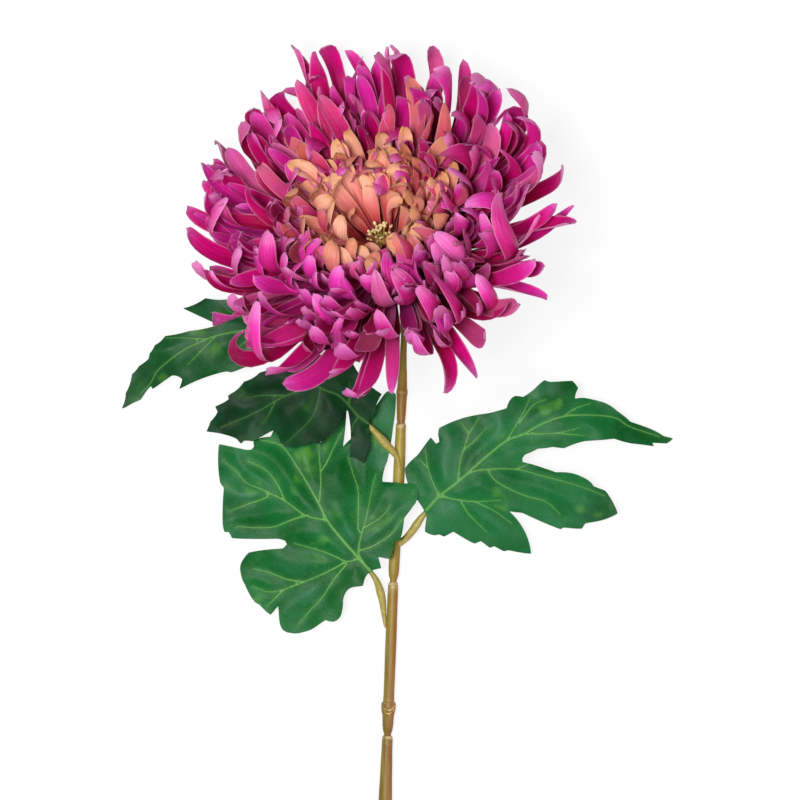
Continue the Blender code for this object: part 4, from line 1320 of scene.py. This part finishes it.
# each edge lists corners (x, y, bulge) from the stalk all the way round, and bows to its right;
# heights are (x, y, z) spots above the table, and the first vein is the midrib
leaves = {
    "leaf_front": {
        "greens": ((0, 80, 24), (4, 98, 38)),
        "veinClarity": 0.54,
        "gloss": 0.18,
        "base": (-6.3, -124.8),
        "edge": (
            (0, 0, -0.4), (4.6, 1.4, 0), (3.2, 6, 0), (7.6, 5, 0.3), (9.4, 11.8, 0), (11.8, 12.6, 0.3),
            (13.3, 21, 0.1), (16.8, 25.6, 0.4), (18.6, 29.4, 0.5), (18.4, 32.4, 0.5), (16.8, 34.2, 0.3),
            (12.8, 34.2, 0.2), (4.8, 34.9, -0.4), (6.8, 43, 0.2), (9, 56, 0.3), (10.2, 69, 0.4),
            (6.6, 70.2, 0.8), (-1.5, 56, 0.5), (-10.5, 48.5, 0.2), (-9, 64, 1), (-19, 50, 0.5),
            (-27, 60, 2), (-37.4, 55.2, 0), (-38.6, 52.4, 0.4), (-45.4, 51, 0.2), (-45, 48.6, -0.6),
            (-47.6, 47.2, 0), (-58.8, 49.6, 0.6), (-58.3, 34.5, 0.1), (-56.8, 32.6, 0.2),
            (-57.4, 20.6, 0.2), (-56.7, 15.2, 0), (-54.8, 15.4, 0), (-53.8, 12.9, 0.2),
            (-36.4, 12.8, -0.2), (-32.8, 12, 0), (-32.2, 10.6, 0), (-33.8, 9, 0.3), (-47.2, 7.4, 0.2),
            (-50.2, 3.2, 0.3), (-50.4, -0.4, 0.3), (-48.6, -5.4, 0.3), (-44.7, -12.2, 0),
            (-43, -13, 0.2), (-38.7, -17.1, 0), (-35.7, -13.4, 0), (-35.3, -19.1, 0.3),
            (-33.9, -22.9, 0.3), (-30.8, -24, 0.4), (-26, -23.6, 0.4), (-20.4, -21, 0),
            (-17.2, -18.7, 0), (-15.6, -19.4, 0.4), (-12.6, -18.8, 0.4), (-10.8, -15.4, 0.2),
            (-10.4, -11, -0.2), (-9, -7.4, -0.3), (-6.4, -5.8, 0), (-2.6, -5.4, 0), (-2.1, -3, -0.3),
        ),
        "heights": (
            (0, 0, 8.4), (15, 27, 9.3), (5, 36, 6.0), (8, 50, 2.7), (6, 66, 2.2), (-10, 58, 3.2),
            (-24, 24, 9.6), (-30, 54, 3.6), (-57, 46, 1.4), (-54, 18, 2.4), (-34, 11, 4.8),
            (-48, 2, 2.2), (-30, -21, 2.4),
        ),
        "veins": (
            ((1, -0.5), (-5.5, 6.5), (-15.5, 18.5), (-19.5, 26), (-24, 34), (-32.5, 47), (-37, 50),
             (-44.5, 51.5)),
            ((-16.5, 20), (-25, 22), (-33, 27.5), (-42, 32), (-48, 34.5), (-52, 39), (-56, 42)),
            ((-33, 27.5), (-36, 34), (-40.5, 39.5), (-47.5, 43)),
            ((-40, 31), (-40, 29), (-48, 26), (-54.5, 23.5)),
            ((-24, 22), (-29.5, 20.5), (-37, 17.5), (-43.5, 17), (-52, 17.5)),
            ((-19.5, 27.5), (-19, 34.5), (-19.5, 42.5), (-20, 50.5)),
            ((-19, 39), (-16.5, 43), (-13, 50.5), (-9, 57.5)),
            ((-2.5, 3.5), (-4.5, 8), (-3, 15.5), (-1.5, 20.5), (1, 33), (2.5, 38)),
            ((-3, 15.5), (-4.5, 17), (-4.5, 31), (-6.5, 38), (-8.5, 44.5)),
            ((-2.5, 17), (2.5, 20), (6.5, 23.5), (8, 26.5)),
            ((-3.5, 8.5), (1, 10), (8, 14.5), (12.5, 20.5)),
            ((-4.5, 5), (-9, 4), (-13.5, 6), (-20, 8.5), (-29.5, 11)),
            ((-9, 4), (-17.5, -0.5), (-25.5, -4), (-33.5, -7), (-39.5, -8), (-45.5, -6)),
            ((-26, -4), (-32.5, -3), (-39, -0.5), (-45.5, 1)),
            ((-33.5, -7), (-40, -13.5)),
            ((-9, 3), (-14, -3), (-18.5, -10), (-24, -16), (-28, -21)),
        ),
    },
    "leaf_right": {
        "greens": ((0, 74, 22), (14, 98, 44)),
        "veinClarity": 0.44,
        "gloss": 0.18,
        "base": (15.1, -101.4),
        "edge": (
            (0.6, -1.6, 0), (-0.2, -7.8, 0.2), (3.7, -9.3, 0), (5.5, -8.8, 0), (7.4, -9.8, 0),
            (11, -7.7, 0.2), (19.3, -12.6, 0), (21.7, -11.4, 0), (25.2, -14.3, 0), (27, -13.4, 0.1),
            (30.6, -15.6, 0), (32.6, -15.1, 0.2), (41.4, -16.6, 1.8), (32.6, 0.2, 0.1),
            (37.6, -0.4, 0.2), (52.7, -7, 0), (53.8, -6.2, 0.1), (61, -6.8, 0), (62.2, -4.6, 0.1),
            (68.9, -3.4, 0.2), (75, -0.8, 0.4), (70, 8.2, 0), (65.4, 9.8, 0), (64.4, 11.4, 0.5),
            (56.4, 15.1, 0.2), (50.6, 15.3, 0.1), (46.4, 16.8, 0.2), (37.6, 19.3, -0.5),
            (38.6, 22.2, 0.2), (43.6, 24.5, 0.2), (49.4, 25.2, 0.1), (53.8, 24.6, -0.3),
            (62, 27.4, 0.1), (73.4, 28.3, 0.2), (80.2, 26.4, 0), (85.6, 25.8, 0), (89.2, 25.2, 0),
            (88.2, 26.7, 0), (94.2, 26.3, 0.1), (96.8, 28.4, 0), (93, 29.2, 0.2), (87.4, 32.2, 0.1),
            (79.8, 34.8, 0.2), (74.6, 39, 0.4), (68.6, 42.6, 0.1), (61.6, 44.2, 0.1), (57.9, 43.8, 0),
            (58.4, 46, 0), (59.4, 48, 0), (57.2, 50.8, 0), (48.2, 50.3, 0), (46.2, 51.1, 0.1),
            (42.3, 47.6, 0), (41.4, 46.8, 0), (38, 44.4, 0.1), (34.8, 45, 0.3), (32.6, 43, 0.2),
            (31.6, 40.1, 0), (24.6, 38.2, 0.2), (14.4, 36.3, 0.2), (5.4, 32.5, 0.1), (5, 30, 0),
            (5.6, 27, 0.2), (4.2, 26.2, 0.1), (2.2, 29, 0), (-3, 21.8, 0.3), (-7.9, 16.8, 0.4),
            (-6, 9.4, 0.1), (-1, 1.6, 0),
        ),
        "heights": (
            (0, 0, 8.2), (24, 13, 13.2), (54, 37, 13), (97, 28, 0.8), (80, 31, 6.4), (53, 49, 9),
            (-5, 16, 7.4), (4, 30, 9.4), (38, 21, 11.4), (74, 0, 4), (55, 4, 8.2), (41, -16, 1.4),
            (6, -8, 6.4),
        ),
        "veins": (
            ((-0.5, -0.5), (5.5, 6), (12.5, 11.5), (22.5, 20.5), (31.5, 27.5), (38, 30), (45, 34),
             (53.5, 37), (63.5, 37.5), (73.5, 36.5), (79.5, 33), (91.5, 29)),
            ((5.5, 6), (2.5, 12.5), (1, 17.5), (0, 24)),
            ((1, 17), (-2.5, 20.5)),
            ((12.5, 11.5), (13.5, 19.5), (15, 24.5), (17, 30), (21, 36.5)),
            ((17, 30), (14, 34.5)),
            ((15.5, 24.5), (19.5, 28), (24, 33)),
            ((31.5, 27.5), (34.5, 32.5), (38.5, 39.5), (40.5, 44)),
            ((36.5, 34.5), (42, 41.5), (47, 43.5)),
            ((53.5, 37), (58, 40), (64, 42)),
            ((37, 30), (50.5, 30.5), (59.5, 32.5)),
            ((50.5, 30.5), (62, 29.5)),
            ((12.5, 11.5), (17, 15), (24, 16.5), (35, 16.5), (45, 14), (59.5, 10), (70, 6)),
            ((35, 16.5), (40, 18.5)),
            ((24, 16.5), (28, 11.5), (38, 6.5), (46.5, 4), (52.5, -1)),
            ((5.5, 6), (13.5, 4.5), (19, 4), (29.5, 4.5)),
            ((19, 4), (26.5, 0.5), (33.5, -4.5)),
            ((13.5, 4.5), (17, -1), (24, -8)),
        ),
    },
    "leaf_back": {
        # darker greens than the other leaves: painted shade from the head above
        "greens": ((0, 36, 10), (0, 56, 20)),
        "veinClarity": 0.16,
        "gloss": 0.12,
        "base": (-6.7, -67.8),
        "edge": (
            (0, 0, 0), (0.5, -8, 0.3), (-2, -15, 0), (-4.5, -13, 0.2), (-7.5, -12.5, 0.8),
            (-8.1, 5.9, 0.4), (-10.9, 2.1, 0), (-14.4, -3.2, 0), (-18.9, -6.8, 0), (-20.2, -7.4, 0),
            (-22, -6.4, 0.2), (-24.4, -7.4, 0.2), (-28.6, -9, 0.3), (-32.6, -8.6, 0.3),
            (-34.4, -6.6, 0.2), (-35.6, -3.2, 0.2), (-37, -2, 0), (-45, -6.4, 0.1), (-48.4, -6, 0),
            (-49.6, -7.5, 0), (-51.2, -5.4, 0.1), (-55.4, -3.9, 0.2), (-63.3, -2.6, 0.2),
            (-61.6, 1.4, 0.3), (-58.6, 5.2, 0), (-59.8, 7.2, 0.2), (-54.2, 10, 0), (-54.8, 11.4, 0),
            (-52, 13, 0.3), (-48.4, 16.9, 0.6), (-42.2, 20.4, 0.8), (-27, 27, 0.6), (-15, 28, 0.4),
            (-13.5, 20.5, 0.6), (-7.5, 27, 1.8), (5.2, 12, 0.6), (2.5, 5, 0.2),
        ),
        "heights": (
            (0, 0, 10.2), (-14, 10, 13.8), (-30, 14, 13.4), (-62, -2, 4.4), (-33, -7, 8.8),
            (-3, -13, 8.6), (4, 13, 9.6), (-8, 26, 10.8), (-24, 26, 11.6), (-50, 14, 8.4),
            (-50, -6, 6.4),
        ),
        "veins": (
            ((0, 0.5), (-4, 3.5), (-7.5, 7.5), (-11.5, 11.5), (-16.5, 13.5), (-20.5, 15), (-26, 13.5),
             (-31.5, 11.5), (-36, 9.5), (-43.5, 5), (-57.5, -1)),
            ((-33, 11.5), (-41, 11.5), (-47.5, 10.5)),
            ((-36, 9.5), (-39, 3.5), (-42, 0)),
            ((-18.5, 14.5), (-20, 7.5), (-22, 3), (-26, -1.5), (-31.5, -6.5)),
            ((-7.5, 7.5), (-7, 13), (-7.5, 16.5)),
            ((-4, 3.5), (-6, 0), (-7, -3.5)),
        ),
    },
    "leaf_high": {
        "greens": ((0, 58, 18), (10, 76, 30)),
        "veinClarity": 0.32,
        "gloss": 0.2,
        "base": (-34.0, -32.0),
        "edge": (
            (0, 0, -0.4), (-6, -6, 1.6), (-19.5, -13, 0), (-26, -15.5, 0), (-28, -15, 0.7),
            (-46.5, -22, 0), (-45, -18, 0.4), (-49, -16.5, 0), (-57, -22, 0), (-57.5, -20.5, 0.2),
            (-61.5, -26, 0), (-62.5, -26.4, 0.2), (-67.4, -29, 0), (-69.2, -29.6, 0.5),
            (-67.4, -23.4, 0.5), (-64.9, -16, 0.3), (-62.2, -13, 0.1), (-58.2, -10.2, 0),
            (-57.8, -8, 0.3), (-55.8, -4.8, 0.5), (-51.8, -1.2, 0.3), (-42.2, 0.7, 0.4), (-31, 3, 0),
            (-45, 9.5, 0.6), (-36, 13.5, 0.5), (-27, 13, 1), (-9, 8, 1),
        ),
        "heights": (
            (0, 0, 9), (-28, -1, 12), (-50, -9, 9), (-68, -28, 0.8), (-46, -20, 4.6), (-20, -13, 7.6),
            (-44, 10, 6), (-12, 8, 9.2), (-60, -12, 4.4),
        ),
        "veins": (
            ((-1, 0.5), (-10, 1), (-19.5, 1), (-31, -1), (-37.5, -3.5), (-43, -6), (-47, -8.5),
             (-51, -11.5), (-55, -15), (-58, -20), (-62, -24)),
            ((-32, -1.5), (-38.5, -8), (-43, -12.5)),
            ((-36, -2.5), (-45, -2), (-51.5, -2)),
            ((-12, 1), (-20, 5), (-28, 9)),
            ((-14, 1), (-21, -4), (-27, -10)),
        ),
    },
}


def leafOutline(corners, step):
    # points along the edge, each stretch an arc whose bulge lies to the right of the way round
    points = []
    for (x, y, bulge), (x2, y2, _) in zip(corners, (*corners[1:], corners[0])):
        a, b = Vector((x, y)), Vector((x2, y2))
        run = b - a
        outward = Vector((run.y, -run.x)).normalized()
        count = max(1, round(run.length / step))
        for i in range(count):
            t = i / count
            points.append(a + run * t + outward * bulge * 4 * t * (1 - t))
    return np.array([tuple(point) for point in points])


def insideOutline(points, outline):
    # even-odd rule for all points at once
    x, y = points[:, 0:1], points[:, 1:2]
    ax, ay = outline[:, 0], outline[:, 1]
    bx, by = np.roll(ax, -1), np.roll(ay, -1)
    rise = np.where(by == ay, 1e-9, by - ay)
    crosses = ((ay > y) != (by > y)) & (x < ax + (bx - ax) * (y - ay) / rise)
    return crosses.sum(1) % 2 == 1


def gridInside(outline, lines, pitch):
    # a triangular grid within the outline, clear of the edge and of the vein lines
    low, high = outline.min(0), outline.max(0)
    rows = np.arange(low[1], high[1], pitch * math.sqrt(3) / 2)
    columns = np.arange(low[0], high[0], pitch)
    grid = np.array([(x + 0.5 * pitch * (k % 2), y) for k, y in enumerate(rows) for x in columns])
    grid = grid[insideOutline(grid, outline)]
    taken = np.vstack([outline, *lines])
    gaps = np.sqrt(((grid[:, None] - taken[None]) ** 2).sum(2)).min(1)
    return grid[gaps > 0.6 * pitch]


def heightField(spots):
    # a thin-plate surface through (x, y, z) spots
    spots = np.array(spots, float)
    count = len(spots)

    def kernel(distance):
        return np.where(distance > 0, distance**2 * np.log(np.maximum(distance, 1e-9)), 0.0)

    gaps = np.linalg.norm(spots[:, None, :2] - spots[None, :, :2], axis=2)
    plane = np.column_stack([np.ones(count), spots[:, :2]])
    system = np.block([[kernel(gaps), plane], [plane.T, np.zeros((3, 3))]])
    weights = np.linalg.solve(system, np.concatenate([spots[:, 2], np.zeros(3)]))

    def height(points):
        distance = np.linalg.norm(points[:, None] - spots[None, :, :2], axis=2)
        return kernel(distance) @ weights[:count] + weights[count] + points @ weights[count + 1 :]

    return height


def veinReach(points, lines):
    # how far each point is from the nearest vein: in millimetres, and in the vein's own half widths
    nearest = np.full(len(points), 1e9)
    reach = np.full(len(points), 1e9)
    for k, line in enumerate(lines):
        thick, thin = leafCloth["sideVein" if k else "midrib"]
        starts, ends = line[:-1], line[1:]
        runs = ends - starts
        offset = points[:, None] - starts[None]
        share = np.clip((offset * runs).sum(2) / (runs * runs).sum(1), 0, 1)
        gaps = np.linalg.norm(offset - share[..., None] * runs, axis=2)
        place = (np.arange(len(starts)) + share) / len(starts)
        nearest = np.minimum(nearest, gaps.min(1))
        reach = np.minimum(reach, (gaps / (thick + (thin - thick) * place)).min(1))
    return nearest, reach


def leafTriangles(outline, lines):
    # the blade seen from above: its spots, its triangles and each spot's place beside the veins
    chains = [(i, (i + 1) % len(outline)) for i in range(len(outline))]
    first = len(outline)
    for line in lines:
        chains += [(first + i, first + i + 1) for i in range(len(line) - 1)]
        first += len(line)
    points = np.vstack([outline, *lines, gridInside(outline, lines, leafCloth["grid"])])
    for _ in range(leafCloth["forkRounds"]):
        flat = [Vector(point) for point in points]
        flat, _, triangles, _, _, _ = delaunay_2d_cdt(flat, chains, [], 1, leafCloth["mergeGap"])
        spots = np.array([tuple(point) for point in flat])
        indices = [list(face) for face in triangles]
        corners = spots[indices]
        inside = insideOutline(corners.mean(1), outline)
        nearest, reach = veinReach(spots, lines)
        # a triangle that spans the fork of two veins is cut up, so that the blade shows between them
        low = reach[indices].max(1) < leafCloth["forkReach"]
        sides = np.linalg.norm(corners - np.roll(corners, 1, 1), axis=2).min(1)
        forks = corners[inside & low & (sides > leafCloth["forkSide"])].mean(1)
        if not len(forks):
            break
        points = np.vstack([points, forks])
    return spots, [face for face, kept in zip(triangles, inside) if kept], nearest, reach


def leafHeights(leaf, spots, nearest, reach):
    # the middle of the cloth: a curved sheet, swollen between the veins, ridged on them and rippled
    x, y = spots[:, 0], spots[:, 1]
    height = heightField(leaf["heights"])(spots) + leafCloth["solidThickness"] / 2
    height += leafCloth["quilting"] * (1 - np.exp(-((nearest / leafCloth["quiltReach"]) ** 2)))
    height += leafCloth["ridge"] * np.exp(-((reach / leafCloth["ridgeReach"]) ** 2))
    across, along, skew, shift = leafCloth["rippleWaves"]
    height += leafCloth["ripple"] * np.sin(x * across + shift) * np.sin(y * along + x * skew)
    return np.maximum(height, leafCloth["floorGap"] + leafCloth["thickness"] / 2)


def makeLeaf(name, leaf, material):
    outline = leafOutline(leaf["edge"], leafCloth["edgeStep"])
    share = leafCloth["edgeSmoothing"]
    outline = (1 - 2 * share) * outline + share * (np.roll(outline, 1, 0) + np.roll(outline, -1, 0))
    lines = []
    for vein in leaf["veins"]:
        line = np.array(curveThrough([(x, y, 0) for x, y in vein], leafCloth["veinStep"]))[:, :2]
        line = line[insideOutline(line, outline)]
        if len(line) > 2:
            lines.append(line)
    spots, triangles, nearest, reach = leafTriangles(outline, lines)
    half = leafCloth["thickness"] / 2
    height = leafHeights(leaf, spots, nearest, reach)
    baseX, baseY = leaf["base"]
    under = np.column_stack([spots[:, 0] + baseX, spots[:, 1] + baseY, height - half])
    over = under + (0, 0, 2 * half)

    count = len(spots)
    faces = [tuple(reversed(face)) for face in triangles]
    faces += [tuple(i + count for i in face) for face in triangles]
    sheets = len(faces)
    edges = {(a, b) for face in triangles for a, b in zip(face, (*face[1:], face[0]))}
    faces += [(a, b, b + count, a + count) for a, b in sorted(edges) if (b, a) not in edges]
    mesh = bpy.data.meshes.new(name)
    mesh.from_pydata([tuple(point) for point in np.vstack([under, over])], [], faces)
    mesh.materials.append(material)
    storeNumbers(mesh, "veinReach", np.tile(np.minimum(reach, 99), 2))
    storeNumbers(mesh, "veinGap", np.tile(np.minimum(nearest, 99), 2))
    storeNumbers(mesh, "below", (np.arange(len(faces)) < sheets // 2).astype(float), "FACE")
    addPiece("silkLeaf" + name.split("_")[1].title(), mesh, plantPlace, name, sharp=70)


leafLook = {
    "blotch": (96, 160, 48),
    "halo": (76, 146, 70),
    "haloReach": 1.6,
    "vein": (116, 178, 84),
    "below": (96, 130, 88),
    # pale dust patches, which also serve as a painted sheen
    "dust": (96, 160, 108),
    "paleSpeck": (104, 164, 116),
    "darkSpeck": (0, 52, 20),
    # the colour of the painted sheen patches between the veins
    "bloom": (60, 130, 96),
    "cloudScale": 46,
    "blotchScale": 72,
    "bloomScale": 58,
    "threadScale": 2600,
    "dustScale": 240,
    "speckScale": 1300,
    "roughness": 0.34,
    "relief": 0.12,
}


def makeLeafMaterial(name, leaf):
    material, tree = newMaterial(name)
    place = tree.place()
    reach, gap, below = tree.attributes("veinReach", "veinGap", "below")
    look, clear = leafLook, leaf["veinClarity"]
    clouds = tree.noise(place, look["cloudScale"], 3.0)
    green = tree.blend(clouds.between(0.35, 0.65), *leaf["greens"])
    # yellow-green blotches between the veins
    blotch = tree.noise(place + (0.3, 0.1, 0.0), look["blotchScale"], 2.0).between(0.58, 0.72)
    blotch = blotch * gap.between(0.6, 2.5)
    green = tree.blend(blotch * clear * 0.9, green, look["blotch"])
    # paler beside each vein, palest on it
    halo = (1 - gap / look["haloReach"]).atLeast(0)
    green = tree.blend(halo * halo * clear * 0.5, green, look["halo"])
    vein = 1 - reach.between(0.45, 1.2)
    green = tree.blend(vein * clear, green, look["vein"])
    green = tree.blend(below * 0.4, green, look["below"])
    warp = tree.noise(place, look["threadScale"], 1.0, (1.0, 0.35, 1.0))
    threads = warp + tree.noise(place, look["threadScale"], 1.0, (0.35, 1.0, 1.0))
    dust = tree.noise(place, look["dustScale"], 3.0)
    specks = tree.noise(place, look["speckScale"], 2.0)
    # pale dust patches, which also serve as a painted sheen, then fine pale and dark specks
    green = tree.blend((dust - 0.5).atLeast(0) * clear * 0.5, green, look["dust"])
    green = tree.blend((specks - 0.5).atLeast(0) * clear * 0.5, green, look["paleSpeck"])
    green = tree.blend((0.5 - specks).atLeast(0) * clear * 1.2, green, look["darkSpeck"])
    # a painted sheen: bluish pale patches on the swellings between the veins
    paintedSheen = tree.noise(place + (0.0, 0.2, 0.1), look["bloomScale"], 2.0).between(0.46, 0.7)
    paintedSheen = paintedSheen * gap.between(0.8, 3.5)
    green = tree.blend(paintedSheen * clear * 0.5, green, look["bloom"])
    finishMaterial(tree, {
        "Base Color": green,
        "Roughness": look["roughness"] + clouds * 0.14 + dust * 0.1,
        "Normal": tree.bump(threads * 0.5 + vein * 0.8 + dust * 0.5, look["relief"]),
        "Specular IOR Level": leaf["gloss"],
    })
    return material


for name, leaf in leaves.items():
    makeLeaf(name, leaf, makeLeafMaterial(name + "_silk", leaf))
print("leaves:", len(leaves))


# floor, light and camera

stage = {
    "floor": 6000.0,
    "floorColour": (0.9, 0.9, 0.9, 1),
    "white": (1, 1, 1, 1),
    "glow": 0.85,
    "world": 0.11,
    "worldSeen": 0.89,
    "worldReflected": 0.12,
    "cameraAside": (5.39, -58.1),
    "cameraHeight": 1560.0,
    "lens": 180.0,
    "sensor": 36,
    "clips": (0.05, 50),
}

# places and sizes are in metres, and power in watts
lights = {
    "key": {"place": (-0.34, 0.04, 1.45), "aim": (0, 0.03, 0.03), "size": 0.5, "power": 21.5},
    "fill": {"place": (0.6, -0.6, 1.25), "aim": (0, 0, 0.02), "size": 1.0, "power": 7.5},
}


def makeFloor():
    half = stage["floor"] / 2 * mm
    corners = [(-half, -half, 0), (half, -half, 0), (half, half, 0), (-half, half, 0)]
    mesh = bpy.data.meshes.new("floor")
    mesh.from_pydata(corners, [], [(0, 1, 2, 3)])
    floor = addToScene("floor", mesh)
    material, tree = newMaterial("paleFloor")
    mesh.materials.append(material)
    matt = tree.add("ShaderNodeBsdfDiffuse", {"Color": stage["floorColour"]})
    glow = tree.add("ShaderNodeEmission", {"Color": stage["white"], "Strength": 1.0})
    # the camera sees the floor glow, so that the shadows on it stay faint
    rays = tree.add("ShaderNodeLightPath")
    seen = rays["Is Camera Ray"].atLeast(rays["Is Glossy Ray"]).atLeast(rays["Is Transmission Ray"])
    surface = tree.add("ShaderNodeMixShader", {0: seen * stage["glow"], 1: matt, 2: glow})
    tree.add("ShaderNodeOutputMaterial", {"Surface": surface})


def makeLight(name, light):
    lamp = bpy.data.lights.new(name, "AREA")
    lamp.shape = "DISK"
    lamp.size = light["size"]
    lamp.energy = light["power"]
    thing = addToScene(name, lamp)
    thing.location = light["place"]
    thing.rotation_mode = "QUATERNION"
    way = Vector(light["aim"]) - Vector(light["place"])
    thing.rotation_quaternion = way.to_track_quat("-Z", "Y")


def makeWorld():
    world = bpy.data.worlds.new("studio")
    bpy.context.scene.world = world
    world.use_nodes = True
    world.node_tree.nodes.clear()
    tree = Tree(world.node_tree)
    # white to the camera, and dim to the plant, so that the lamps shape it
    rays = tree.add("ShaderNodeLightPath")
    strength = stage["world"] + rays["Is Camera Ray"] * stage["worldSeen"]
    strength = strength + rays["Is Glossy Ray"] * stage["worldReflected"]
    background = tree.add("ShaderNodeBackground", {"Color": stage["white"], "Strength": strength})
    tree.add("ShaderNodeOutputWorld", {"Surface": background})


def makeCamera():
    data = bpy.data.cameras.new("camera")
    data.lens = stage["lens"]
    data.sensor_width = stage["sensor"]
    data.clip_start, data.clip_end = stage["clips"]
    camera = addToScene("camera", data)
    x, y = stage["cameraAside"]
    camera.location = plantPlace @ Vector((x, y, stage["cameraHeight"]))
    bpy.context.scene.camera = camera


makeFloor()
for name, light in lights.items():
    makeLight(name, light)
makeWorld()
makeCamera()
bpy.context.scene.view_settings.view_transform = "Standard"
